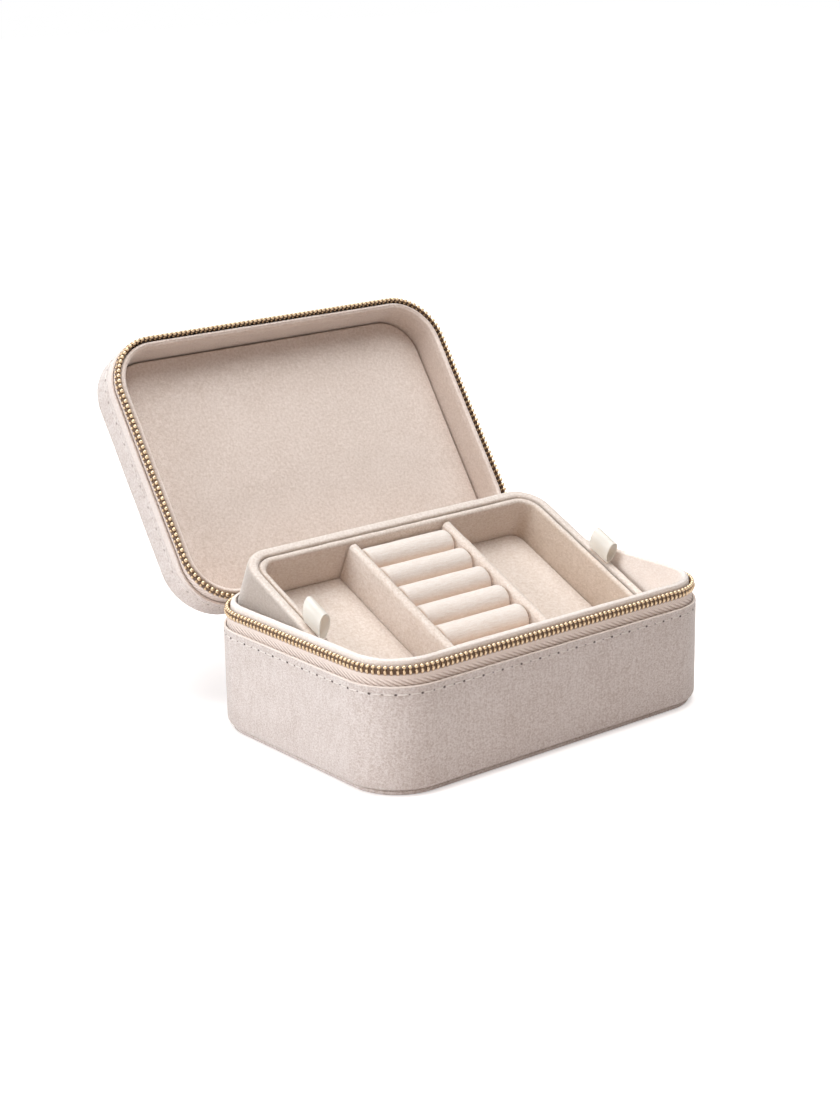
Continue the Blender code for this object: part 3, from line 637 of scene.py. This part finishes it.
def soften(mesh, amount, size, seed):
    """Move each vertex along its normal by smooth noise, as padded fabric is never true."""
    mesh.normal_update()
    shift = Vector((seed * 7.3, seed * 3.1, seed * 1.7))
    for vertex in mesh.verts:
        level = noise.noise(vertex.co / (size * MM) + shift)
        vertex.co += vertex.normal * (level * amount * MM)


def wall_mesh(plan, profile, front=0.0, rear=0.0, inner_from=None):
    """A wall of this (inset, z) profile round a plan; insets from inner_from are shifted."""
    rings = []
    for inset, z in profile:
        inner = inner_from is not None and inset >= inner_from
        rings.append(plan_ring(plan, inset, z, front if inner else 0.0,
                               rear if inner else 0.0))
    mesh = bmesh.new()
    add_loft(mesh, rings, closed=True)
    return mesh


def solid_mesh(plan, profile):
    """A filled plan, from the first ring of its (inset, z) profile to the last."""
    mesh = bmesh.new()
    add_loft(mesh, [plan_ring(plan, inset, z) for inset, z in profile], closed=False)
    return mesh


def bar_mesh(section, axis, start, end, steps=40):
    """A section of (across, z) points carried along X or Y."""
    rings = []
    for step in range(steps + 1):
        along = start + (end - start) * step / steps
        rings.append([(along, across, z) if axis == "X" else (across, along, z)
                      for across, z in section])
    mesh = bmesh.new()
    add_loft(mesh, rings, closed=False)
    return mesh


# ==== velvet covers ====================================================================
def cover_mesh(far, edge, reach, outer_round, inner_round, seed):
    """Velvet round the sides, from its edge by the tape to its far side, where it turns in."""
    up = 1 if edge > far else -1
    stitch = edge - up * STITCH_DROP
    profile = round_corners(
        [(reach, far, 0), (0.0, far, outer_round), (0.0, stitch - up * GROOVE_HALF, 0),
         (GROOVE_DEPTH, stitch, 0), (0.0, stitch + up * GROOVE_HALF, 0),
         (0.0, edge, COVER_EDGE_ROUND), (COVER_THICKNESS, edge, COVER_EDGE_ROUND),
         (COVER_THICKNESS, far + up * COVER_TURN, inner_round),
         (reach, far + up * COVER_TURN, 0)], closed=True)
    mesh = wall_mesh(CASE_PLAN, profile)
    soften(mesh, 0.1, 14.0, seed)
    return mesh


def build_base(materials, place):
    mesh = cover_mesh(BASE_COVER_BOTTOM, BASE_COVER_TOP, 5.0, 2.2, 1.2, 1)
    finish_piece("base_velvet", mesh, materials["outer"], place,
                 ("base_outer_cover",))
    panel = round_corners([(20.0, 0.0, 0), (1.9, 0.0, 0.7), (1.9, 1.6, 0.6), (20.0, 1.6, 0)],
                          closed=False)
    finish_piece("underside_velvet", solid_mesh(CASE_PLAN, panel), materials["outer"], place,
                 ("base_bottom_panel",))
    low = BASE_FLOOR_TOP + GAP
    rim = round_corners([(RIM_INSET, low, 0), (RIM_INSET, BASE_RIM_TOP - 1.7, 0.9),
                         (RIM_INSET + 0.35, BASE_RIM_TOP - 0.5, 0.7),
                         (RIM_INSET + 1.2, BASE_RIM_TOP, 0.7),
                         (WALL_INSET, BASE_RIM_TOP, 1.2), (WALL_INSET, low, 0)], closed=True)
    mesh = wall_mesh(CASE_PLAN, rim, rear=RIM_THICKNESS - REAR_RIM_THICKNESS,
                     inner_from=WALL_INSET - 0.3)
    soften(mesh, 0.12, 9.0, 2)
    made = finish_piece("base_padded_rim", mesh, materials["rim"], place,
                        ("base_rim_wall",))
    build_base_floor(materials, place, low)
    build_lower_dividers(materials, place)


def build_base_floor(materials, place, low):
    edge = WALL_INSET + GAP
    profile = round_corners([(edge + 1.2, low, 0), (edge, low + 0.9, 0.8),
                             (edge + 1.0, FLOOR_PAD_TOP - 0.5, 1.0),
                             (edge + 8.0, FLOOR_PAD_TOP - 0.1, 0),
                             (edge + 16.0, FLOOR_PAD_TOP - 0.05, 0),
                             (edge + 40.0, FLOOR_PAD_TOP, 0)], closed=False)
    mesh = solid_mesh(CASE_PLAN, profile)
    soften(mesh, 0.08, 20.0, 3)
    made = finish_piece("base_floor_cushion", mesh, materials["lining"], place,
                        ("base_floor_pad",))


def build_lower_dividers(materials, place):
    low = FLOOR_PAD_TOP + GAP
    top = TRAY_BASE - GAP
    half = LOWER_DIVIDER_THICKNESS / 2

    def section(middle):
        return round_corners([(middle - half, low, 0), (middle + half, low, 0),
                              (middle + half, top, half * 0.95),
                              (middle - half, top, half * 0.95)], closed=True)

    reach = CASE_LENGTH / 2 - WALL_INSET - 2 * GAP
    finish_piece("cross_divider_velvet", bar_mesh(section(CROSS_DIVIDER_Y), "X", -reach, reach),
                 materials["lining"], place, ("lower_cross_divider",))
    rear = CASE_DEPTH / 2 - WALL_INSET - GAP
    front = CROSS_DIVIDER_Y + half + GAP
    for side, name in ((-1, "left"), (1, "right")):
        mesh = bar_mesh(section(side * SHORT_DIVIDER_X), "Y", front, rear)
        finish_piece(f"lower_{name}_divider_velvet", mesh, materials["lining"], place,
                     (f"lower_{name}_divider",))


def build_lid(materials, place):
    mesh = cover_mesh(LID_COVER_TOP, LID_COVER_BOTTOM, 8.0, 3.0, 2.0, 4)
    finish_piece("lid_velvet", mesh, materials["outer"], place,
                 ("lid_outer_cover",))
    low = LID_COVER_TOP + GAP
    panel = round_corners([(20.0, low, 0), (3.4, low, 0.4), (3.9, LID_PANEL_TOP, 0.8),
                           (14.0, LID_PANEL_TOP + 0.4, 0), (22.0, LID_PANEL_TOP + 0.6, 0),
                           (40.0, LID_PANEL_TOP + 0.7, 0)], closed=False)
    mesh = solid_mesh(CASE_PLAN, panel)
    soften(mesh, 0.1, 22.0, 5)
    finish_piece("lid_top_velvet", mesh, materials["outer"], place,
                 ("lid_top_panel",))
    high = LID_PLATE_BOTTOM - GAP
    low = LID_RIM_BOTTOM
    rim = round_corners([(RIM_INSET, high, 0), (WALL_INSET, high, 0),
                         (WALL_INSET, low + 3.0, 1.4), (WALL_INSET - 0.5, low + 0.75, 0.8),
                         (WALL_INSET - 1.6, low, 0.8), (RIM_INSET, low, 1.1)], closed=True)
    mesh = wall_mesh(CASE_PLAN, rim)
    soften(mesh, 0.12, 9.0, 6)
    made = finish_piece("lid_padded_rim", mesh, materials["lid_rim"], place,
                        ("lid_rim_wall",))
    edge = WALL_INSET + GAP + 0.1
    pad = round_corners([(edge + 1.0, high, 0), (edge, high - 0.9, 0.7),
                         (edge + 0.5, LID_PAD_FACE, 0.9),
                         (edge + 5.0, LID_PAD_FACE - 0.35 * LID_PAD_CROWN, 0),
                         (edge + 10.0, LID_PAD_FACE - 0.65 * LID_PAD_CROWN, 0),
                         (edge + 18.0, LID_PAD_FACE - 0.85 * LID_PAD_CROWN, 0),
                         (edge + 28.0, LID_PAD_FACE - 0.95 * LID_PAD_CROWN, 0),
                         (edge + 42.0, LID_PAD_FACE - LID_PAD_CROWN, 0)], closed=False)
    mesh = solid_mesh(CASE_PLAN, pad)
    soften(mesh, 0.15, 26.0, 7)
    made = finish_piece("lid_ceiling_cushion", mesh, materials["ceiling"], place,
                        ("lid_ceiling_panel",))


# ==== zipper ===========================================================================
def chain_run(end_x):
    """The pieces of the chain's line, from the rear right end round the front to the left."""
    radius = CORNER_RADIUS - ZIP_INSET
    straight_x = CASE_LENGTH / 2 - CORNER_RADIUS
    straight_y = CASE_DEPTH / 2 - CORNER_RADIUS
    reach_y = straight_y + radius
    reach_x = straight_x + radius
    half = [("line", (end_x, reach_y), (straight_x, reach_y), (0, 1)),
            ("arc", (straight_x, straight_y), 90.0, 0.0, radius),
            ("line", (reach_x, straight_y), (reach_x, -straight_y), (1, 0)),
            ("arc", (straight_x, -straight_y), 0.0, -90.0, radius),
            ("line", (straight_x, -reach_y), (0, -reach_y), (0, -1))]
    mirrored = []
    for piece in reversed(half):
        if piece[0] == "line":
            _, start, end, normal = piece
            mirrored.append(("line", (-end[0], end[1]), (-start[0], start[1]),
                             (-normal[0], normal[1])))
        else:
            _, centre, first, last, size = piece
            mirrored.append(("arc", (-centre[0], centre[1]), 180.0 - last, 180.0 - first, size))
    return half + mirrored


def piece_length(piece):
    if piece[0] == "line":
        return (Vector(piece[2]) - Vector(piece[1])).length
    return abs(math.radians(piece[3] - piece[2])) * piece[4]


def chain_point(run, distance):
    """Point and outward direction at a distance from the start of the chain's line."""
    for piece in run[:-1]:
        length = piece_length(piece)
        if distance <= length:
            break
        distance -= length
    else:
        piece = run[-1]
        length = piece_length(piece)
    share = min(max(distance / length, 0.0), 1.0)
    if piece[0] == "line":
        return Vector(piece[1]).lerp(Vector(piece[2]), share), Vector(piece[3])
    angle = math.radians(piece[2] + (piece[3] - piece[2]) * share)
    outward = Vector((math.cos(angle), math.sin(angle)))
    return Vector(piece[1]) + outward * piece[4], outward


def add_tooth(mesh, point, outward, root, direction):
    """One tooth, built up from the tips of its legs over its shoulders to its bead."""
    along = Vector((-outward.y, outward.x))
    rings = []
    for up, half_across, half_along, square, _ in TOOTH_LEVELS:
        ring = []
        for step in range(TOOTH_SIDES):
            angle = 2 * math.pi * (step + 0.5) / TOOTH_SIDES
            cosine = math.cos(angle)
            sine = math.sin(angle)
            across = half_across * math.copysign(abs(cosine) ** square, cosine)
            reach = half_along * math.copysign(abs(sine) ** square, sine)
            place = point + outward * across + along * reach
            ring.append((place.x, place.y, root + direction * up))
        rings.append(ring)
    add_loft(mesh, rings, closed=False)


def build_teeth(name, node, root, direction, lag, material, place):
    run = chain_run(CHAIN_END_X)
    total = sum(piece_length(piece) for piece in run)
    count = int(total / TOOTH_PITCH) - 1
    first = (total - (count - 1) * TOOTH_PITCH) / 2 + lag
    mesh = bmesh.new()
    for index in range(count):
        point, outward = chain_point(run, first + index * TOOTH_PITCH)
        add_tooth(mesh, point, outward, root, direction)
    # each vertex carries its level's share of painted shade
    dark = mesh.verts.layers.float.new(NECK_SHADE)
    levels = [level[0] for level in TOOTH_LEVELS]
    for vertex in mesh.verts:
        up = (vertex.co.z / MM - root) * direction
        nearest = min(range(len(levels)), key=lambda index: abs(levels[index] - up))
        vertex[dark] = TOOTH_LEVELS[nearest][4]
    finish_piece(name, mesh, material, place, (node,), smooth_angle=42.0)


def build_tape(name, node, end_x, edge, root, direction, material, place):
    """Tape with its corded edge inside the teeth; edge is the height of its far side."""
    run = chain_run(end_x)
    total = sum(piece_length(piece) for piece in run)
    steps = int(total / TAPE_STEP)
    # the cord rises between the teeth, where its colour is painted shade
    section = [(TAPE_HALF, edge), (TAPE_HALF, root - direction * 0.9),
               (CORD_HALF, root - direction * 0.3), (CORD_HALF, root + direction * 0.5),
               (0.3, root + direction * 2.25)]
    section += [(-across, z) for across, z in reversed(section)]
    mesh = bmesh.new()
    uv = mesh.loops.layers.uv.new("UVMap")
    rows = []
    for step in range(steps + 1):
        distance = total * step / steps
        point, outward = chain_point(run, distance)
        row = []
        for across, z in section:
            spot = point + outward * across
            row.append(mesh.verts.new(Vector((spot.x, spot.y, z)) * MM))
        rows.append((distance, row))
    count = len(section)
    for (start, low), (end, high) in zip(rows, rows[1:]):
        for index in range(count):
            after = (index + 1) % count
            face = mesh.faces.new((low[index], low[after], high[after], high[index]))
            spots = ((start, index), (start, after), (end, after), (end, index))
            for loop, (along, corner) in zip(face.loops, spots):
                loop[uv].uv = (along, (root - section[corner][1]) * direction + 1.0)
    mesh.faces.new(rows[0][1])
    mesh.faces.new(list(reversed(rows[-1][1])))
    finish_piece(name, mesh, material, place, (node,))


def build_stitches(name, z, hole, materials, place):
    """A row of stitches sunk into the velvet, with a needle hole at each end, painted as a dark
    spot of shade.
    """
    run = chain_run(0.0)
    total = sum(piece_length(piece) for piece in run)
    count = int(total / STITCH_PITCH)
    pitch = total / count
    lift = ZIP_INSET - STITCH_SINK
    length = pitch - 2 * STITCH_MARGIN
    threads = bmesh.new()
    holes = bmesh.new()
    for index in range(count):
        start = index * pitch
        rings = []
        for share, size in ((0.0, 0.3), (0.12, 0.9), (0.5, 1.0), (0.88, 0.9), (1.0, 0.3)):
            point, outward = chain_point(run, start + STITCH_MARGIN + share * length)
            middle = point + outward * (lift - STITCH_DIP * (1 - size))
            radius = THREAD_RADIUS * size
            rings.append(upright_ring(middle, outward, z, radius, radius, THREAD_SIDES))
        add_loft(threads, rings, closed=False)
        point, outward = chain_point(run, start)
        along = Vector((-outward.y, outward.x))
        size = HOLE_RADII[index % 2]
        rings = []
        for height, share in ((lift - 0.2, 0.5), (lift + 0.07, 1.0), (lift + 0.12, 0.7)):
            rings.append(upright_ring(point + outward * height, along, z, size * 1.3 * share,
                                      size * share, HOLE_SIDES))
        add_loft(holes, rings, closed=False)
    finish_piece(name + "_thread", threads, materials["thread"], place)
    finish_piece(name + "_holes", holes, materials[hole], place)


def build_fold(name, edge, direction, reach, material, place):
    """The turned edge of the velvet beside the tape, reaching past the cover, lighter than the
    cover as a painted highlight.
    """
    low = edge - direction * 0.4
    high = edge + direction * reach
    profile = round_corners([(0.06, low, 0.2), (0.06, high, 0.25), (0.9, high, 0.25),
                             (0.9, low, 0.2)], closed=True)
    mesh = wall_mesh(CASE_PLAN, profile)
    # a wide fold narrows round the rear corners, clear of the swinging pull
    for vertex in mesh.verts:
        past = (vertex.co.z / MM - edge) * direction - FOLD_REACH
        if past > 0:
            share = (vertex.co.y / MM - FOLD_NARROWS_FROM) / (FOLD_NARROW_AT - FOLD_NARROWS_FROM)
            vertex.co.z -= direction * past * min(max(share, 0.0), 1.0) * MM
    finish_piece(name, mesh, material, place)


def build_zipper(materials, base, lid):
    build_tape("base_tape", "base_zipper_tape", BASE_TAPE_END_X, BASE_TAPE_BOTTOM,
               BASE_TOOTH_ROOT, 1, materials["tape"], base)
    build_tape("lid_tape", "lid_zipper_tape", CHAIN_END_X, LID_TAPE_TOP, LID_TOOTH_ROOT, -1,
               materials["tape"], lid)
    build_teeth("base_teeth", "base_zipper_teeth", BASE_TOOTH_ROOT, 1, -TOOTH_PITCH / 4,
                materials["teeth"], base)
    build_teeth("lid_teeth", "lid_zipper_teeth", LID_TOOTH_ROOT, -1, TOOTH_PITCH / 4,
                materials["teeth"], lid)
    build_fold("base_velvet_fold", BASE_COVER_TOP, 1, FOLD_REACH, materials["fold"], base)
    build_fold("lid_velvet_fold", LID_COVER_BOTTOM, -1, LID_FOLD_REACH,
               materials["lid_fold"], lid)
    build_stitches("base_stitch", BASE_COVER_TOP - STITCH_DROP, "hole", materials, base)
    build_stitches("lid_stitch", LID_COVER_BOTTOM + STITCH_DROP, "lid_hole", materials, lid)


# ==== tray =============================================================================
def build_tray(materials, place):
    shell = round_corners([(8.0, TRAY_BASE, 0), (0.0, TRAY_BASE, 2.0), (0.0, TRAY_TOP, 1.5),
                           (TRAY_LIP, TRAY_TOP - 0.1, 1.2), (TRAY_LIP, TRAY_TOP - 1.2, 0.1),
                           (SHELL_WALL, TRAY_TOP - 2.0, 0),
                           (SHELL_WALL, SHELL_FLOOR_TOP, 0)], closed=False)
    mesh = solid_mesh(TRAY_PLAN, shell)
    soften(mesh, 0.12, 9.0, 8)
    finish_piece("tray_velvet", mesh, materials["tray"], place,
                 ("tray_shell",))
    low = SHELL_FLOOR_TOP + GAP
    liner = round_corners([(LINER_INSET, low, 0), (LINER_INSET, LINER_TOP - 1.9, 0.3),
                           (TRAY_LIP + 0.35, LINER_TOP - 0.9, 0.2),
                           (TRAY_LIP + 0.8, LINER_TOP - 0.05, 0.6),
                           (LINER_INNER, LINER_TOP, 1.3), (LINER_INNER + LINER_DRAFT, low, 0)],
                          closed=True)
    mesh = wall_mesh(TRAY_PLAN, liner, front=LINER_FRONT_THINNER,
                     inner_from=(LINER_INSET + LINER_INNER) / 2)
    soften(mesh, 0.14, 8.0, 9)
    made = finish_piece("tray_lining", mesh, materials["tray_wall"], place,
                        ("tray_liner",))
    build_tray_inside(materials, place, low)


def build_tray_inside(materials, place, low):
    inner = LINER_INNER + LINER_DRAFT + GAP
    front = TRAY_REAR_Y - TRAY_DEPTH + inner - LINER_FRONT_THINNER
    rear = TRAY_REAR_Y - inner
    corner = TRAY_RADIUS - inner
    outer_x = TRAY_HALF_LENGTH - inner
    inner_x = DIVIDER_X + DIVIDER_THICKNESS / 2 + GAP
    plans = (("left", make_plan(-outer_x, -inner_x, front, rear, (0.5, corner, corner, 0.5))),
             ("right", make_plan(inner_x, outer_x, front, rear, (corner, 0.5, 0.5, corner))))
    for side, plan in plans:
        profile = round_corners([(1.0, low, 0), (0.0, low, 0), (0.0, TRAY_PAD_TOP - 0.15, 0.4),
                                 (3.0, TRAY_PAD_TOP, 0), (8.0, TRAY_PAD_TOP + 0.05, 0),
                                 (16.0, TRAY_PAD_TOP + 0.05, 0)], closed=False)
        mesh = solid_mesh(plan, profile)
        soften(mesh, 0.1, 12.0, 10)
        made = finish_piece(f"tray_{side}_cushion", mesh, materials["lining"], place,
                            (f"tray_{side}_floor",))
    half = DIVIDER_THICKNESS / 2
    for side, sign in (("left", -1), ("right", 1)):
        middle = sign * DIVIDER_X
        section = round_corners([(middle - half - 0.1, low, 0), (middle + half + 0.1, low, 0),
                                 (middle + half - 0.2, DIVIDER_TOP, 1.9),
                                 (middle - half + 0.2, DIVIDER_TOP, 1.9)], closed=True)
        mesh = bar_mesh(section, "Y", front, rear, steps=60)
        soften(mesh, 0.12, 8.0, 11 + sign)
        finish_piece(f"{side}_divider_velvet", mesh, materials["lining"], place,
                     (f"{side}_divider",))
    for index in range(ROLL_COUNT):
        build_roll(index, materials["roll"], place)


def build_roll(index, material, place):
    """A padded roll: a firm cylinder with soft shoulders and a tucked-in end."""
    middle_y = ROLL_FIRST_Y - index * ROLL_PITCH
    shoulder = [(-1.0, 0.30), (-1.0, 0.62), (-0.99, 0.86), (-0.965, 0.965), (-0.93, 0.995)]
    stations = shoulder + [(-0.9 + 0.1 * step, 1.0) for step in range(19)]
    stations += [(-share, size) for share, size in reversed(shoulder)]
    rings = []
    for share, size in stations:
        middle = Vector((ROLL_HALF_LENGTH * share, middle_y))
        radius = ROLL_RADIUS * size
        rings.append(upright_ring(middle, Vector((0, 1)), ROLL_Z, radius, radius, ROLL_SIDES))
    mesh = bmesh.new()
    add_loft(mesh, rings, closed=False)
    soften(mesh, 0.1, 7.0, 20 + index)
    made = finish_piece(f"padded_roll_{index + 1}", mesh, material, place,
                        (f"ring_roll_{index + 1}",))


def ribbon_loop(y, inward, slant):
    """One edge of the ribbon: an oval narrowed towards its root, which is at the origin."""
    ring = []
    for step in range(RIBBON_STEPS):
        angle = 2 * math.pi * step / RIBBON_STEPS
        rise = (1 - math.cos(angle)) / 2
        wide = (TAB_SPREAD / 2) * (1 - TAB_ROOT_NARROWING * (1 - rise)) - inward
        ring.append(Vector((wide * math.sin(angle), y + slant * rise,
                            inward + (TAB_HEIGHT - 2 * inward) * rise)))
    return ring


def build_ribbon(name, node, side, slant, material, tray_turn):
    """A loop of ribbon on its root line, woven in one width and slightly askew."""
    half = TAB_WIDTH / 2
    edges = [(-half + TAB_WIDTH * step / RIBBON_SLICES, 0.0)
             for step in range(RIBBON_SLICES + 1)]
    edges += [(y, TAB_THICKNESS) for y, _ in reversed(edges)]
    mesh = bmesh.new()
    add_loft(mesh, [ribbon_loop(y, inward, slant) for y, inward in edges], closed=True)
    root = Vector((side * (TRAY_HALF_LENGTH - TAB_ROOT_INSET), TAB_Y, TAB_ROOT_Z))
    turn = tray_turn @ Matrix.Translation(root * MM) @ Matrix.Rotation(TAB_LEAN, 4, "Y")
    made = finish_piece(name, mesh, material, Place(node, turn), (node,))


# ==== hinge ============================================================================
def build_hinge(materials, pivot, angle):
    """One strip of fabric up the back of the base, over the fold and down the lid."""
    lid_turn = Matrix.Rotation(-angle, 2)
    pivot_yz = Vector((pivot.y, pivot.z)) / MM
    fold_low = pivot_yz.y - HINGE_STRIP_CLEAR
    fold_high = pivot_yz.y + HINGE_STRIP_CLEAR
    line = []
    upper = []
    for step in range(HINGE_STEPS + 1):
        share = step / HINGE_STEPS
        line.append(Vector((HINGE_STRIP_Y,
                            BASE_TAPE_BOTTOM + share * (fold_low - BASE_TAPE_BOTTOM))))
        closed = Vector((HINGE_STRIP_Y, fold_high + share * (LID_TAPE_TOP - fold_high)))
        upper.append(pivot_yz + lid_turn @ (closed - pivot_yz))
    start = line[-1]
    end = upper[0]
    after_start = start + Vector((0, HINGE_EASE))
    before_end = end - (upper[1] - end).normalized() * HINGE_EASE
    for step in range(1, HINGE_STEPS):
        share = step / HINGE_STEPS
        first = start.lerp(after_start, share)
        second = after_start.lerp(before_end, share)
        third = before_end.lerp(end, share)
        line.append(first.lerp(second, share).lerp(second.lerp(third, share), share))
    line += upper
    half = HINGE_STRIP_THICKNESS / 2
    outer = []
    inner = []
    for index, spot in enumerate(line):
        ahead = line[min(index + 1, len(line) - 1)] - line[max(index - 1, 0)]
        across = Vector((-ahead.y, ahead.x)).normalized() * half
        inner.append(spot + across)
        outer.append(spot - across)
    mesh = bar_mesh(outer + inner[::-1], "X", -HINGE_STRIP_HALF, HINGE_STRIP_HALF, steps=30)
    made = add_piece("hinge_fabric", mesh, materials["outer"])
    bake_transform(made)
    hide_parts("base_hinge_strip", "lid_hinge_strip")


def main():
    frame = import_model()
    add_camera()
    bpy.context.scene.view_settings.view_transform = "Standard"
    joints = {joint["name"]: joint for joint in frame["record"]["behaviour"]["joints"]}
    hinge = Vector(joints["lid_hinge"]["pos_m"])
    tilt = Vector(joints["tray_tilt"]["pos_m"])
    open_angle = math.radians(-joints["lid_hinge"]["range_deg"][0])
    tilt_angle = math.radians(-joints["tray_tilt"]["range_deg"][0])
    lid_turn = (Matrix.Translation(hinge) @ Matrix.Rotation(-open_angle, 4, "X")
                @ Matrix.Translation(-hinge))
    tray_turn = (Matrix.Translation(tilt) @ Matrix.Rotation(tilt_angle, 4, "X")
                 @ Matrix.Translation(-tilt))
    base = Place("base")
    lid = Place("lid", lid_turn)
    tray = Place("tray", tray_turn)
    materials = make_materials()
    build_base(materials, base)
    build_lid(materials, lid)
    build_zipper(materials, base, lid)
    build_tray(materials, tray)
    build_ribbon("left_ribbon", "left_pull_tab", -1, LEFT_TAB_SLANT, materials["satin"],
                 tray_turn)
    build_ribbon("right_ribbon", "right_pull_tab", 1, RIGHT_TAB_SLANT, materials["satin"],
                 tray_turn)
    build_hinge(materials, hinge, open_angle)
    for node, key in (("zipper_slider", "brass"), ("zipper_pull", "brass"),
                      ("base_board_shell", "board"), ("lid_board_shell", "board"),
                      ("tray_roll_bed", "lining")):
        frame["nodes"][node].data.materials.clear()
        frame["nodes"][node].data.materials.append(materials[key])
    add_world()
    add_lamps()
    add_floor()


main()
